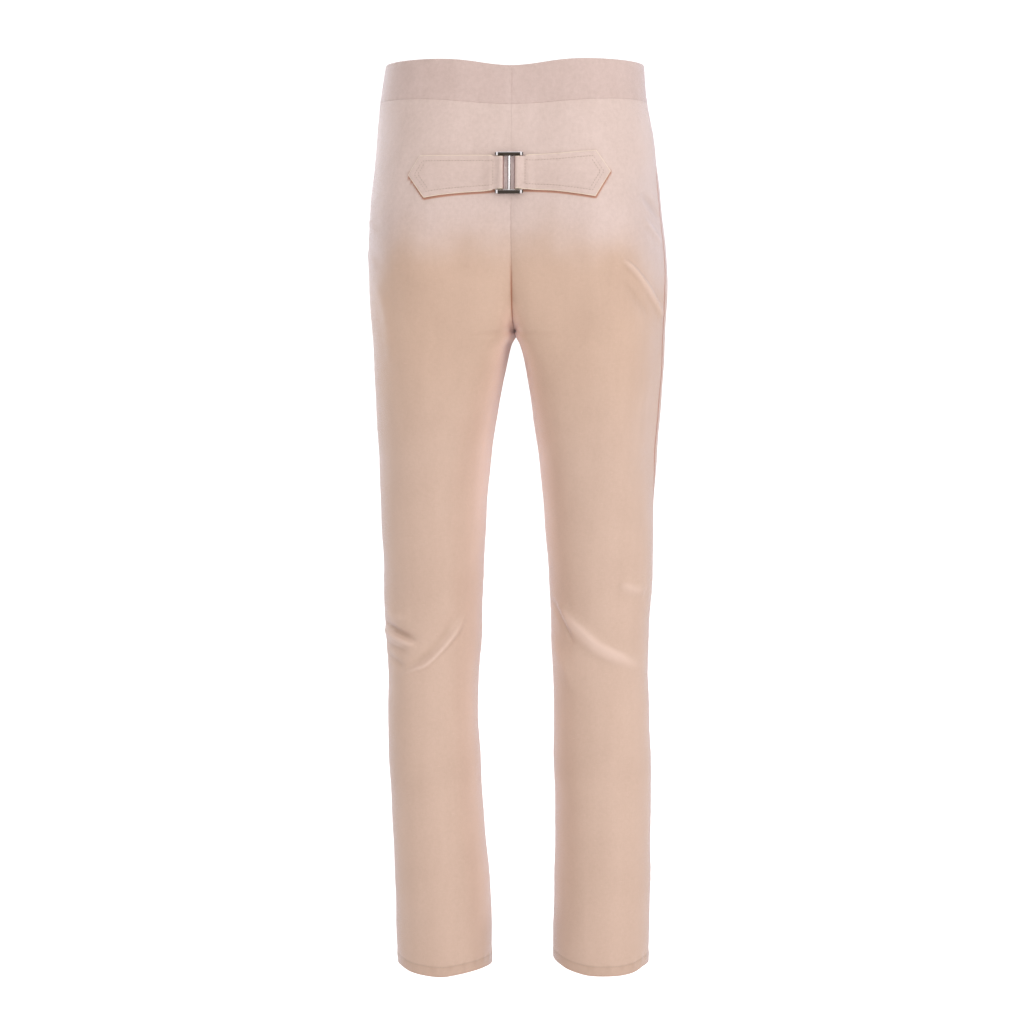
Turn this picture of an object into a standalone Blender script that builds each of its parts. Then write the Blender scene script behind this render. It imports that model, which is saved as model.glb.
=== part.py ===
"""Fall-front trousers, filled out as if worn, with a half belt and buckle on the seat.

Metres, +Z up. The front faces -Y, the back +Y, and the wearer's left is +X.
The origin is the middle of the waistband's ring, where the wearer's waist holds the garment up.
Every panel is a thin wall between plan sections of the two legs, read from the tables below.
"""
import math
from bisect import bisect_right
from collections import namedtuple
from functools import lru_cache

import bpy
import bmesh
from mathutils import Matrix, Vector


class Table:
    """Rows of named sizes, read between the rows on smooth curves that never overshoot."""

    def __init__(self, rows):
        names = rows[0]._fields
        self.keys = [row[0] for row in rows]
        self.values = {name: [getattr(row, name) for row in rows] for name in names}
        self.slopes = {name: self.find_slopes(self.values[name]) for name in names}

    def find_slopes(self, values):
        """Slope of the curve at each row, flat where the values turn back."""
        keys = self.keys
        spans = range(len(keys) - 1)
        rises = [(values[i + 1] - values[i]) / (keys[i + 1] - keys[i]) for i in spans]
        slopes = [rises[0]]
        for before, after in zip(rises, rises[1:]):
            turns = before * after <= 0.0
            slopes.append(0.0 if turns else 2.0 * before * after / (before + after))
        return slopes + [rises[-1]]

    def read(self, name, at):
        """Value of one column at a place along the first column."""
        at = min(max(at, self.keys[0]), self.keys[-1])
        i = min(bisect_right(self.keys, at) - 1, len(self.keys) - 2)
        length = self.keys[i + 1] - self.keys[i]
        t = (at - self.keys[i]) / length
        low, high = self.values[name][i:i + 2]
        start = self.slopes[name][i] * length
        end = self.slopes[name][i + 1] * length
        rise = high - low
        return low + t * (start + t * (3 * rise - 2 * start - end + t * (start + end - 2 * rise)))


# Cloth and seams
CLOTH = 0.0015
BAND_CLOTH = 0.0026
FALL_CLOTH = 0.0022
TAB_CLOTH = 0.0017
SEAM_GAP = 0.0003
BAND_INSET = 0.0008

# Heights: a drop is measured down from the waist seam
BAND_HEIGHT = 0.043
WAIST_SEAM_Z = -BAND_HEIGHT / 2
HEM_DROP = 1.002

# The back waist is cut lower at the centre seam, narrowly at the band's top, widely at its seam
BACK_DIP = 0.0085
DIP_WIDTH_TOP = 0.050
DIP_WIDTH_SEAM = 0.085
DIP_END_DROP = 0.120

# Walls are level across at the waist seam, and square to the cloth from this drop down
LEVEL_DROP = 0.030

# Handle length of the plan curves towards the side: 0.552 gives an ellipse, more is squarer
ROUND = 0.57

# One row is one plan section of a leg. The outer and inner edges are distances from the centre
# plane, back and front are the fullest depths, and side is the side seam's place along Y.
Section = namedtuple("Section", "drop outer inner back front side")
LEFT_LEG = Table([
    Section(-0.043, 0.1502, 0.000, 0.1050, 0.1060, 0.000),
    Section(0.000, 0.1564, 0.000, 0.1100, 0.1080, 0.000),
    Section(0.040, 0.1604, 0.000, 0.1185, 0.1110, 0.002),
    Section(0.080, 0.1640, 0.000, 0.1265, 0.1125, 0.004),
    Section(0.120, 0.1670, 0.000, 0.1290, 0.1120, 0.006),
    Section(0.165, 0.1688, 0.000, 0.1295, 0.1080, 0.007),
    Section(0.205, 0.1682, 0.000, 0.1265, 0.1030, 0.007),
    Section(0.261, 0.1660, 0.000, 0.1160, 0.0960, 0.006),
    Section(0.275, 0.1654, 0.0066, 0.1130, 0.0945, 0.005),
    Section(0.300, 0.1642, 0.0116, 0.1070, 0.0915, 0.004),
    Section(0.350, 0.1618, 0.0212, 0.0960, 0.0875, 0.001),
    Section(0.410, 0.1594, 0.0301, 0.0840, 0.0830, -0.002),
    Section(0.470, 0.1574, 0.0344, 0.0730, 0.0790, -0.005),
    Section(0.530, 0.1548, 0.0390, 0.0630, 0.0750, -0.007),
    Section(0.570, 0.1546, 0.0409, 0.0575, 0.0735, -0.008),
    Section(0.610, 0.1532, 0.0417, 0.0555, 0.0720, -0.008),
    Section(0.650, 0.1516, 0.0436, 0.0560, 0.0690, -0.006),
    Section(0.700, 0.1501, 0.0446, 0.0590, 0.0650, -0.003),
    Section(0.780, 0.1473, 0.0412, 0.0630, 0.0610, 0.000),
    Section(0.860, 0.1442, 0.0355, 0.0640, 0.0605, 0.001),
    Section(0.940, 0.1414, 0.0295, 0.0630, 0.0610, 0.001),
    Section(1.002, 0.1390, 0.0285, 0.0625, 0.0620, 0.001),
])
RIGHT_LEG = Table([
    Section(-0.043, 0.1462, 0.000, 0.1050, 0.1060, 0.002),
    Section(0.000, 0.1498, 0.000, 0.1100, 0.1080, 0.006),
    Section(0.040, 0.1572, 0.000, 0.1185, 0.1110, 0.012),
    Section(0.080, 0.1630, 0.000, 0.1265, 0.1125, 0.016),
    Section(0.120, 0.1670, 0.000, 0.1290, 0.1120, 0.020),
    Section(0.165, 0.1706, 0.000, 0.1295, 0.1080, 0.022),
    Section(0.205, 0.1726, 0.000, 0.1265, 0.1030, 0.022),
    Section(0.261, 0.1718, 0.000, 0.1160, 0.0960, 0.018),
    Section(0.275, 0.1712, 0.0050, 0.1130, 0.0945, 0.016),
    Section(0.300, 0.1700, 0.0109, 0.1070, 0.0915, 0.014),
    Section(0.350, 0.1664, 0.0193, 0.0960, 0.0875, 0.010),
    Section(0.410, 0.1616, 0.0273, 0.0840, 0.0830, 0.006),
    Section(0.470, 0.1590, 0.0325, 0.0730, 0.0790, 0.000),
    Section(0.530, 0.1574, 0.0370, 0.0630, 0.0750, -0.004),
    Section(0.570, 0.1556, 0.0389, 0.0575, 0.0735, -0.006),
    Section(0.610, 0.1540, 0.0404, 0.0555, 0.0720, -0.006),
    Section(0.650, 0.1537, 0.0418, 0.0560, 0.0690, -0.004),
    Section(0.700, 0.1554, 0.0440, 0.0590, 0.0650, -0.002),
    Section(0.780, 0.1564, 0.0450, 0.0630, 0.0610, 0.000),
    Section(0.860, 0.1570, 0.0447, 0.0640, 0.0605, 0.000),
    Section(0.940, 0.1561, 0.0440, 0.0630, 0.0610, 0.000),
    Section(1.002, 0.1556, 0.0440, 0.0625, 0.0620, 0.000),
])

# The seam through the fork. A section's inner end drops to seam_drop, turn is the angle there
# between the cloth and the X axis, in degrees, corner is the handle length of the curve from
# there out, and full is where the fullest depth lies, as a share of the way to the outer edge.
Rise = namedtuple("Rise", "drop seam_drop back_seam front_seam back_turn front_turn corner full")
FORK = Table([
    Rise(-0.043, -0.043, 0.1050, 0.1060, 0, 0, 0.58, 0.30),
    Rise(0.000, 0.000, 0.1100, 0.1080, 0, 0, 0.58, 0.32),
    Rise(0.040, 0.040, 0.1180, 0.1110, 2, 0, 0.58, 0.34),
    Rise(0.080, 0.080, 0.1252, 0.1125, 5, 0, 0.58, 0.38),
    Rise(0.120, 0.1188, 0.1268, 0.1115, 9, 3, 0.60, 0.42),
    Rise(0.165, 0.1622, 0.1242, 0.1060, 18, 9, 0.62, 0.46),
    Rise(0.205, 0.1992, 0.1148, 0.0978, 33, 25, 0.66, 0.48),
    Rise(0.235, 0.226, 0.0962, 0.0848, 54, 46, 0.74, 0.49),
    Rise(0.252, 0.240, 0.0782, 0.0695, 70, 64, 0.80, 0.50),
    Rise(0.264, 0.2494, 0.0590, 0.0545, 80, 76, 0.86, 0.50),
    Rise(0.271, 0.2554, 0.0370, 0.0355, 86, 84, 0.90, 0.50),
    Rise(0.277, 0.261, 0.0000, 0.0000, 90, 90, 0.92, 0.50),
    Rise(0.290, 0.2748, 0.0000, 0.0000, 90, 90, 0.88, 0.50),
    Rise(0.310, 0.297, 0.0000, 0.0000, 90, 90, 0.80, 0.50),
    Rise(0.350, 0.344, 0.0000, 0.0000, 90, 90, 0.68, 0.50),
    Rise(0.410, 0.409, 0.0000, 0.0000, 90, 90, 0.60, 0.50),
    Rise(0.470, 0.470, 0.0000, 0.0000, 90, 90, 0.57, 0.50),
    Rise(1.002, 1.002, 0.0000, 0.0000, 90, 90, 0.57, 0.50),
])
SEAM_STEP = 0.0015
CROTCH_ROW = 0.277

# How much higher than HEM_DROP the back of each hem is, at places from the inseam to the side seam
HemRise = namedtuple("HemRise", "u left right")
HEM = Table([
    HemRise(0.00, 0.0025, 0.0120),
    HemRise(0.14, 0.0040, 0.0100),
    HemRise(0.22, 0.0036, 0.0070),
    HemRise(0.30, 0.0022, 0.0045),
    HemRise(0.36, 0.0006, 0.0029),
    HemRise(0.42, -0.0008, 0.0025),
    HemRise(0.55, 0.0003, 0.0025),
    HemRise(0.68, 0.0018, 0.0034),
    HemRise(0.84, 0.0044, 0.0070),
    HemRise(1.00, 0.0025, 0.0062),
])
HEM_TURN_DROP = 0.930

# Rows of the lofts: each band ends at a drop and has a number of equal steps
RowBand = namedtuple("RowBand", "end steps")
PANEL_ROWS = [
    RowBand(0.120, 6),
    RowBand(0.205, 5),
    RowBand(0.253, 5),
    RowBand(CROTCH_ROW, 4),
    RowBand(0.350, 4),
    RowBand(0.565, 7),
    RowBand(0.667, 12),
    RowBand(HEM_TURN_DROP, 5),
    RowBand(HEM_DROP, 3),
]
BAND_ROWS = 3
SPANS_INNER = 5
SPANS_BACK = 7
SPANS_FRONT = 6
SPLIT = 0.42

# The largest folds, each a soft ridge or trough along a curve over the panel as seen square on.
# Lift is how far it stands out, and less than nothing is a trough.
Fold = namedtuple("Fold", "leg face x1 drop1 x2 drop2 x3 drop3 width lift")
BACK = 1
FRONT = -1
FOLDS = [
    Fold("left", BACK, 0.055, 0.580, 0.076, 0.619, 0.132, 0.656, 0.008, 0.0028),
    Fold("left", BACK, 0.070, 0.590, 0.090, 0.616, 0.125, 0.640, 0.010, -0.0016),
    Fold("left", BACK, 0.155, 0.598, 0.140, 0.606, 0.116, 0.618, 0.008, -0.0045),
    Fold("left", BACK, 0.154, 0.613, 0.140, 0.621, 0.122, 0.630, 0.007, 0.0022),
    Fold("right", BACK, 0.041, 0.569, 0.078, 0.600, 0.150, 0.660, 0.010, 0.0030),
    Fold("right", BACK, 0.041, 0.590, 0.055, 0.612, 0.080, 0.640, 0.009, -0.0018),
    Fold("right", BACK, 0.156, 0.545, 0.145, 0.552, 0.125, 0.556, 0.009, 0.0018),
    Fold("right", BACK, 0.130, 0.176, 0.150, 0.207, 0.168, 0.240, 0.008, 0.0024),
    Fold("right", BACK, 0.112, 0.210, 0.132, 0.238, 0.150, 0.262, 0.010, 0.0014),
    Fold("left", BACK, 0.166, 0.130, 0.160, 0.160, 0.150, 0.190, 0.010, 0.0014),
    Fold("left", FRONT, 0.060, 0.560, 0.095, 0.584, 0.135, 0.572, 0.011, 0.0022),
    Fold("left", FRONT, 0.058, 0.640, 0.090, 0.652, 0.130, 0.632, 0.010, -0.0018),
    Fold("right", FRONT, 0.058, 0.575, 0.100, 0.592, 0.142, 0.570, 0.011, 0.0022),
    Fold("right", FRONT, 0.066, 0.655, 0.100, 0.660, 0.138, 0.640, 0.010, -0.0018),
    Fold("left", FRONT, 0.024, 0.262, 0.060, 0.228, 0.110, 0.205, 0.011, 0.0020),
    Fold("right", FRONT, 0.024, 0.258, 0.058, 0.222, 0.104, 0.196, 0.011, 0.0020),
]
FOLD_STEPS = 8

# The fall, a flap over the middle of the front: its half width at the top and bottom edges
FALL_TOP = 0.0145
FALL_BOTTOM = -0.2050
FALL_HALF_TOP = 0.1040
FALL_HALF_BOTTOM = 0.0960
FALL_ROWS = 11
FALL_SPANS = 14
FALL_LIFT = 0.0006

# Buttons along the fall's top edge
BUTTON_RADIUS = 0.0085
BUTTON_HEIGHT = 0.0034
BUTTON_DISH = 0.0010
BUTTON_Z = 0.0005
BUTTON_X = {"fall_button_left": 0.082, "fall_button_centre": 0.0, "fall_button_right": -0.082}
BUTTON_SIDES = 20

# Buckle: two bars joined by three rods, in a plane that leans with the seat
BUCKLE_X = 0.0017
BUCKLE_TOP = -0.0862
BUCKLE_BOTTOM = -0.1277
BAR_LENGTH = 0.0310
BAR_HEIGHT = 0.0048
BAR_DEPTH = 0.0046
BAR_CHAMFER = 0.0012
ROD_RADIUS = 0.0015
CENTRE_ROD_RADIUS = 0.0017
ROD_SPACING = 0.0092
ROD_SIDES = 12

# Half belt tabs. An edge row gives the top and bottom edge at a distance from the centre plane.
TabEdge = namedtuple("TabEdge", "x top bottom")
LEFT_TAB = Table([
    TabEdge(0.0182, -0.0891, -0.1248),
    TabEdge(0.0225, -0.0874, -0.1264),
    TabEdge(0.050, -0.0872, -0.1282),
    TabEdge(0.075, -0.0872, -0.1305),
    TabEdge(0.098, -0.0872, -0.1340),
])
RIGHT_TAB = Table([
    TabEdge(0.0148, -0.0891, -0.1248),
    TabEdge(0.0190, -0.0872, -0.1252),
    TabEdge(0.045, -0.0860, -0.1262),
    TabEdge(0.070, -0.0838, -0.1290),
    TabEdge(0.093, -0.0818, -0.1324),
])
TAB_TIP = 0.55
Tab = namedtuple("Tab", "sign edges top_corner tip bottom_corner")
TABS = {
    "tab_left": Tab(1, LEFT_TAB, 0.1005, 0.1134, 0.0956),
    "tab_right": Tab(-1, RIGHT_TAB, 0.0930, 0.1087, 0.0928),
}
TAB_ROWS = [0.0, 0.14, 0.28, 0.42, TAB_TIP, 0.70, 0.85, 1.0]
RETURN_LENGTH = 0.010
RETURN_STEPS = 3
FLATTEN_END = 0.026
CHORD_LIFT = 0.0008
TAB_LIFT = 0.0006
LOOP_STEPS = 8
TAB_COLUMNS = [0.0, 0.004, 0.008, 0.0115, 0.015, 0.019, 0.026]
TAB_FAR_STEPS = 7

# Finishes: colour, roughness and metallic value
CLOTH_LOOK = ((0.62, 0.47, 0.37, 1.0), 0.62, 0.0)
BAND_LOOK = ((0.55, 0.43, 0.37, 1.0), 0.66, 0.0)
TAB_LOOK = ((0.66, 0.53, 0.46, 1.0), 0.62, 0.0)
METAL_LOOK = ((0.80, 0.79, 0.78, 1.0), 0.18, 1.0)
BUTTON_LOOK = ((0.60, 0.52, 0.42, 1.0), 0.38, 0.0)

LEGS = {"left": (1, LEFT_LEG), "right": (-1, RIGHT_LEG)}
STEP = 0.0005
SHARP_ANGLE = math.radians(40)
PLACE_ROUNDS = 6
PLACE_HALVINGS = 22


def clear_scene():
    """Start from an empty scene."""
    for item in list(bpy.data.objects):
        bpy.data.objects.remove(item, do_unlink=True)


def make_collection(name):
    """Add a collection to the scene."""
    collection = bpy.data.collections.new(name)
    bpy.context.scene.collection.children.link(collection)
    return collection


def make_material(name, look):
    """A Principled material with one colour, roughness and metallic value."""
    colour, roughness, metallic = look
    material = bpy.data.materials.new(name)
    material.use_nodes = True
    shader = material.node_tree.nodes["Principled BSDF"]
    shader.inputs["Base Color"].default_value = colour
    shader.inputs["Roughness"].default_value = roughness
    shader.inputs["Metallic"].default_value = metallic
    return material


def ease(value):
    """A soft step from 0 to 1."""
    value = min(max(value, 0.0), 1.0)
    return value * value * (3.0 - 2.0 * value)


def curve_point(a, b, c, d, t):
    """Point of a cubic curve with ends a and d and handles b and c."""
    s = 1.0 - t
    return a * s ** 3 + b * (3 * s * s * t) + c * (3 * s * t * t) + d * t ** 3


def back_dip(x, drop, u):
    """How far the back waist is cut down at a distance from the centre seam, none at the side."""
    share = ease(1.0 + drop / BAND_HEIGHT)
    width = DIP_WIDTH_TOP + (DIP_WIDTH_SEAM - DIP_WIDTH_TOP) * share
    fade = (1.0 - ease(drop / DIP_END_DROP)) * (1.0 - u ** 4)
    return BACK_DIP * fade * math.exp(-(x / width) ** 2)


def plan_point(leg, face, drop, u):
    """Point of a section in its own plane: x from the centre plane, y out towards the face."""
    table = LEGS[leg][1]
    seam_name = "back_seam" if face == BACK else "front_seam"
    turn_name = "back_turn" if face == BACK else "front_turn"
    depth_name = "back" if face == BACK else "front"
    seam_drop = FORK.read("seam_drop", drop)
    outer = table.read("outer", drop)
    inner = max(table.read("inner", seam_drop), SEAM_GAP / 2)
    seam = Vector((inner, FORK.read(seam_name, drop)))
    full_x = inner + (outer - inner) * FORK.read("full", drop)
    full = Vector((full_x, table.read(depth_name, drop)))
    side = Vector((outer, face * table.read("side", drop)))
    if drop >= CROTCH_ROW:
        seam.y += face * table.read("side", drop) * ease((drop - CROTCH_ROW) / 0.1)
    if u < SPLIT:
        turn = math.radians(FORK.read(turn_name, drop))
        corner = FORK.read("corner", drop)
        reach = full - seam
        across = math.cos(turn) / reach.x
        up = math.sin(turn) / (reach.y + SEAM_STEP)
        near = seam + Vector((math.cos(turn), math.sin(turn))) * (corner / math.hypot(across, up))
        far = full - Vector((corner * reach.x, 0.0))
        return curve_point(seam, near, far, full, u / SPLIT)
    near = full + Vector((ROUND * (side.x - full.x), 0.0))
    far = side + Vector((0.0, ROUND * (full.y - side.y)))
    return curve_point(full, near, far, side, (u - SPLIT) / (1.0 - SPLIT))


def hem_rise(leg, face, u):
    """How much higher the hem is there: as the table has it behind, evenly from seam to seam before."""
    if face == BACK:
        return HEM.read(leg, u)
    return HEM.read(leg, 0.0) + (HEM.read(leg, 1.0) - HEM.read(leg, 0.0)) * ease(u)


def surface(leg, face, drop, u):
    """Point of the smooth garment, without folds. u runs from the centre or inseam to the side."""
    sign = LEGS[leg][0]
    flat = plan_point(leg, face, drop, u)
    seam_drop = FORK.read("seam_drop", drop)
    level = seam_drop + (drop - seam_drop) * ease(u)
    if face == BACK:
        level += back_dip(flat.x, drop, u)
    turned = ease((drop - HEM_TURN_DROP) / (HEM_DROP - HEM_TURN_DROP))
    level -= hem_rise(leg, face, u) * turned
    return Vector((sign * flat.x, face * flat.y, WAIST_SEAM_Z - level))


def cloth_normal(leg, face, drop, u):
    """Unit normal of the smooth garment, away from the wearer."""
    u1 = max(u - STEP, 0.0)
    u2 = min(u + STEP, 1.0)
    drop1 = max(drop - STEP, -BAND_HEIGHT)
    drop2 = min(drop + STEP, HEM_DROP)
    along = surface(leg, face, drop, u2) - surface(leg, face, drop, u1)
    down = surface(leg, face, drop2, u) - surface(leg, face, drop1, u)
    return along.cross(down).normalized() * (face * LEGS[leg][0])


def wall_normal(leg, face, drop, u):
    """Direction of a wall's thickness: the cloth's normal, made level at the waist seam."""
    normal = cloth_normal(leg, face, drop, u)
    normal.z *= ease(drop / LEVEL_DROP)
    return normal.normalized()


def fold_lift(leg, face, point):
    """How far the folds push a point of the cloth out."""
    drop = WAIST_SEAM_Z - point.z
    place = Vector((abs(point.x), drop))
    total = 0.0
    for fold in FOLDS:
        if fold.leg != leg or fold.face != face:
            continue
        start = Vector((fold.x1, fold.drop1))
        middle = Vector((fold.x2, fold.drop2))
        end = Vector((fold.x3, fold.drop3))
        bend = middle * 2.0 - (start + end) * 0.5
        nearest = None
        for index in range(FOLD_STEPS + 1):
            t = index / FOLD_STEPS
            on_curve = start * (1 - t) ** 2 + bend * (2 * t * (1 - t)) + end * t ** 2
            distance = (place - on_curve).length
            if nearest is None or distance < nearest[0]:
                nearest = (distance, t)
        taper = 1.0 - (2.0 * nearest[1] - 1.0) ** 4
        total += fold.lift * taper * math.exp(-(nearest[0] / fold.width) ** 2)
    return total


def panel_rows():
    """Drops of a panel's rows, from just under the waist seam to the hem."""
    start = SEAM_GAP / 2
    rows = [start]
    for band in PANEL_ROWS:
        for index in range(band.steps):
            rows.append(start + (band.end - start) * (index + 1) / band.steps)
        start = band.end
    return rows


def panel_columns(face):
    """Places of a panel's columns, from the centre or inseam to the side seam."""
    outer_spans = SPANS_BACK if face == BACK else SPANS_FRONT
    inner = [SPLIT * index / SPANS_INNER for index in range(SPANS_INNER)]
    outer = [SPLIT + (1.0 - SPLIT) * index / outer_spans for index in range(outer_spans + 1)]
    return inner + outer


def add_object(collection, name, mesh, material):
    """Link a mesh as a named object with its material, shaded smooth but for its edges."""
    mesh.materials.append(material)
    item = bpy.data.objects.new(name, mesh)
    collection.objects.link(item)
    mesh.shade_smooth()
    mesh.set_sharp_from_angle(angle=SHARP_ANGLE)
    return item


def add_wall(collection, name, outer, inner, material, turned):
    """Close a wall between an outer and an inner grid of points, rows by columns."""
    rows = len(outer)
    columns = len(outer[0])
    count = rows * columns
    vertices = [point for row in outer + inner for point in row]
    faces = []
    for r in range(rows - 1):
        for c in range(columns - 1):
            a = r * columns + c
            b = a + columns
            for corners in ((a, a + 1, b + 1), (a, b + 1, b)):
                faces.append(corners)
                faces.append(tuple(count + index for index in reversed(corners)))
    rim = list(range(columns))
    rim += [r * columns + columns - 1 for r in range(1, rows)]
    rim += [(rows - 1) * columns + c for c in range(columns - 2, -1, -1)]
    rim += [r * columns for r in range(rows - 2, 0, -1)]
    for a, b in zip(rim, rim[1:] + rim[:1]):
        faces.append((b, a, count + a, count + b))
    if turned:
        faces = [tuple(reversed(face)) for face in faces]
    mesh = bpy.data.meshes.new(name)
    mesh.from_pydata([tuple(vertex) for vertex in vertices], [], faces)
    return add_object(collection, name, mesh, material)


def cloth_point(leg, face, drop, u):
    """Outer point of a panel with its folds and its seam gaps, and the normal there."""
    point = surface(leg, face, drop, u)
    normal = wall_normal(leg, face, drop, u)
    point += normal * fold_lift(leg, face, point)
    at_side = u >= 1.0
    at_inseam = u <= 0.0 and drop >= CROTCH_ROW
    if at_side or at_inseam:
        point.y += face * SEAM_GAP / 2
    return point, normal


def make_panels(collection, material):
    """The four leg panels, their columns running towards +X on both legs."""
    for leg, (sign, _) in LEGS.items():
        for face, face_name in ((BACK, "back"), (FRONT, "front")):
            columns = panel_columns(face)[::sign]
            outer = []
            inner = []
            for drop in panel_rows():
                samples = [cloth_point(leg, face, drop, u) for u in columns]
                outer.append([point for point, _ in samples])
                inner.append([point - normal * CLOTH for point, normal in samples])
            add_wall(collection, f"{face_name}_{leg}", outer, inner, material, face < 0)


def make_waistband(collection, material):
    """The two halves of the waistband, from the centre back round the side to the centre front."""
    height = BAND_HEIGHT - SEAM_GAP / 2
    drops = [-BAND_HEIGHT + height * index / BAND_ROWS for index in range(BAND_ROWS + 1)]
    path = [(BACK, u) for u in panel_columns(BACK)]
    path += [(FRONT, u) for u in panel_columns(FRONT)[-2::-1]]
    for leg, (sign, _) in LEGS.items():
        outer = []
        inner = []
        for drop in drops:
            row = []
            for face, u in path:
                normal = wall_normal(leg, face, drop, u)
                row.append((surface(leg, face, drop, u) - normal * BAND_INSET, normal))
            outer.append([point for point, _ in row])
            inner.append([point - normal * BAND_CLOTH for point, normal in row])
        add_wall(collection, f"waistband_{leg}", outer, inner, material, sign < 0)


def place_on_surface(face, x, z):
    """Point and normal of the smooth garment where a line square to the face meets it."""
    leg = "left" if x >= 0 else "right"
    drop = WAIST_SEAM_Z - z
    u = 0.5
    for _ in range(PLACE_ROUNDS):
        low, high = 0.0, 1.0
        for _ in range(PLACE_HALVINGS):
            u = (low + high) / 2
            if abs(surface(leg, face, drop, u).x) < abs(x):
                low = u
            else:
                high = u
        drop += surface(leg, face, drop, u).z - z
    return surface(leg, face, drop, u), cloth_normal(leg, face, drop, u)


def make_fall(collection, material):
    """The fall: a flap over the middle of both front panels, reaching up onto the waistband."""
    outer = []
    inner = []
    for row in range(FALL_ROWS + 1):
        v = row / FALL_ROWS
        z = FALL_TOP + (FALL_BOTTOM - FALL_TOP) * v
        half = FALL_HALF_TOP + (FALL_HALF_BOTTOM - FALL_HALF_TOP) * v
        shares = [2.0 * column / FALL_SPANS - 1.0 for column in range(FALL_SPANS + 1)]
        base = [front_point(half * share, z) for share in shares]
        inner.append([point + normal * FALL_LIFT for point, normal in base])
        outer.append([point + normal * (FALL_LIFT + FALL_CLOTH) for point, normal in base])
    add_wall(collection, "fall", outer, inner, material, True)


def front_point(x, z):
    """Point of the front with its folds, and the level direction out of it."""
    point, normal = place_on_surface(FRONT, x, z)
    point += normal * fold_lift("left" if x >= 0 else "right", FRONT, point)
    out = Vector((normal.x if abs(x) > STEP else 0.0, normal.y, 0.0)).normalized()
    point.x = x
    return point, out


def make_buttons(collection, material):
    """Three shallow dished buttons that hold the fall up on the waistband."""
    rim = BUTTON_RADIUS * 0.75
    profile = [
        (0.0, BUTTON_HEIGHT - BUTTON_DISH),
        (rim * 0.7, BUTTON_HEIGHT - BUTTON_DISH),
        (rim, BUTTON_HEIGHT),
        (BUTTON_RADIUS * 0.93, BUTTON_HEIGHT * 0.92),
        (BUTTON_RADIUS, BUTTON_HEIGHT * 0.55),
        (BUTTON_RADIUS * 0.85, 0.0),
        (0.0, 0.0),
    ]
    for name, x in BUTTON_X.items():
        mesh = bpy.data.meshes.new(name)
        points = [(radius, 0.0, height) for radius, height in profile]
        edges = [(index, index + 1) for index in range(len(points) - 1)]
        mesh.from_pydata(points, edges, [])
        item = add_object(collection, name, mesh, material)
        turned = item.modifiers.new("Turned", "SCREW")
        turned.steps = BUTTON_SIDES
        turned.render_steps = BUTTON_SIDES
        turned.use_merge_vertices = True
        turned.merge_threshold = 0.00005
        point, normal = place_on_surface(FRONT, x, BUTTON_Z)
        if x == 0.0:
            point.x = 0.0
            normal.x = 0.0
        item.location = point + normal * (FALL_LIFT + FALL_CLOTH + SEAM_GAP)
        item.rotation_mode = "QUATERNION"
        item.rotation_quaternion = normal.to_track_quat("Z", "Y")


@lru_cache(maxsize=None)
def seat_chord(x):
    """Seat points at the heights of the buckle's bottom and top bars."""
    bottom, _ = place_on_surface(BACK, x, BUCKLE_BOTTOM)
    top, _ = place_on_surface(BACK, x, BUCKLE_TOP)
    return bottom, top


def chord_depth(x, z):
    """Depth of the straight line between those two points, at one height."""
    bottom, top = seat_chord(x)
    return bottom.y + (top.y - bottom.y) * (z - bottom.z) / (top.z - bottom.z)


def rod_height():
    """Height of the rods' axes over the seat's chord, with a tab's return layer under them."""
    return CHORD_LIFT + 2 * SEAM_GAP + TAB_CLOTH + ROD_RADIUS


@lru_cache(maxsize=None)
def buckle_frame():
    """Origin and axes of the buckle: up along the rods, and out away from the seat."""
    rods = (BUCKLE_X + ROD_SPACING, BUCKLE_X - ROD_SPACING)
    low = max(chord_depth(x, BUCKLE_BOTTOM) for x in rods)
    high = max(chord_depth(x, BUCKLE_TOP) for x in rods)
    up = Vector((0.0, high - low, BUCKLE_TOP - BUCKLE_BOTTOM)).normalized()
    out = Vector((0.0, up.z, -up.y))
    middle = Vector((BUCKLE_X, (low + high) / 2, (BUCKLE_TOP + BUCKLE_BOTTOM) / 2))
    return middle + out * rod_height(), up, out


def move_shape(shape, matrix):
    """Put a temporary mesh's points through a matrix."""
    bmesh.ops.transform(shape, matrix=matrix, verts=shape.verts)


def make_buckle(collection, cutters, material):
    """The buckle: two chamfered bars and three round rods, joined into one piece of metal."""
    origin, up, out = buckle_frame()
    across = up.cross(out)
    axes = Matrix((across, out, up)).transposed().to_4x4()
    place = Matrix.Translation(origin) @ axes
    half = (BUCKLE_TOP - BUCKLE_BOTTOM) / 2 / up.z
    item = None
    for level in (half, -half):
        shape = bmesh.new()
        bmesh.ops.create_cube(shape, size=1.0)
        size = Matrix.Diagonal((BAR_LENGTH, BAR_DEPTH, BAR_HEIGHT, 1.0))
        move_shape(shape, Matrix.Translation((0.0, 0.0, level)) @ size)
        bmesh.ops.bevel(shape, geom=shape.edges[:], offset=BAR_CHAMFER, segments=1, affect="EDGES")
        move_shape(shape, place)
        item = join_metal(collection, cutters, item, shape, material)
    for x, radius in ((-ROD_SPACING, ROD_RADIUS), (0.0, CENTRE_ROD_RADIUS), (ROD_SPACING, ROD_RADIUS)):
        shape = bmesh.new()
        bmesh.ops.create_cone(
            shape, cap_ends=True, segments=ROD_SIDES, radius1=radius, radius2=radius, depth=half * 2)
        move_shape(shape, place @ Matrix.Translation((x, 0.0, 0.0)))
        item = join_metal(collection, cutters, item, shape, material)


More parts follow.
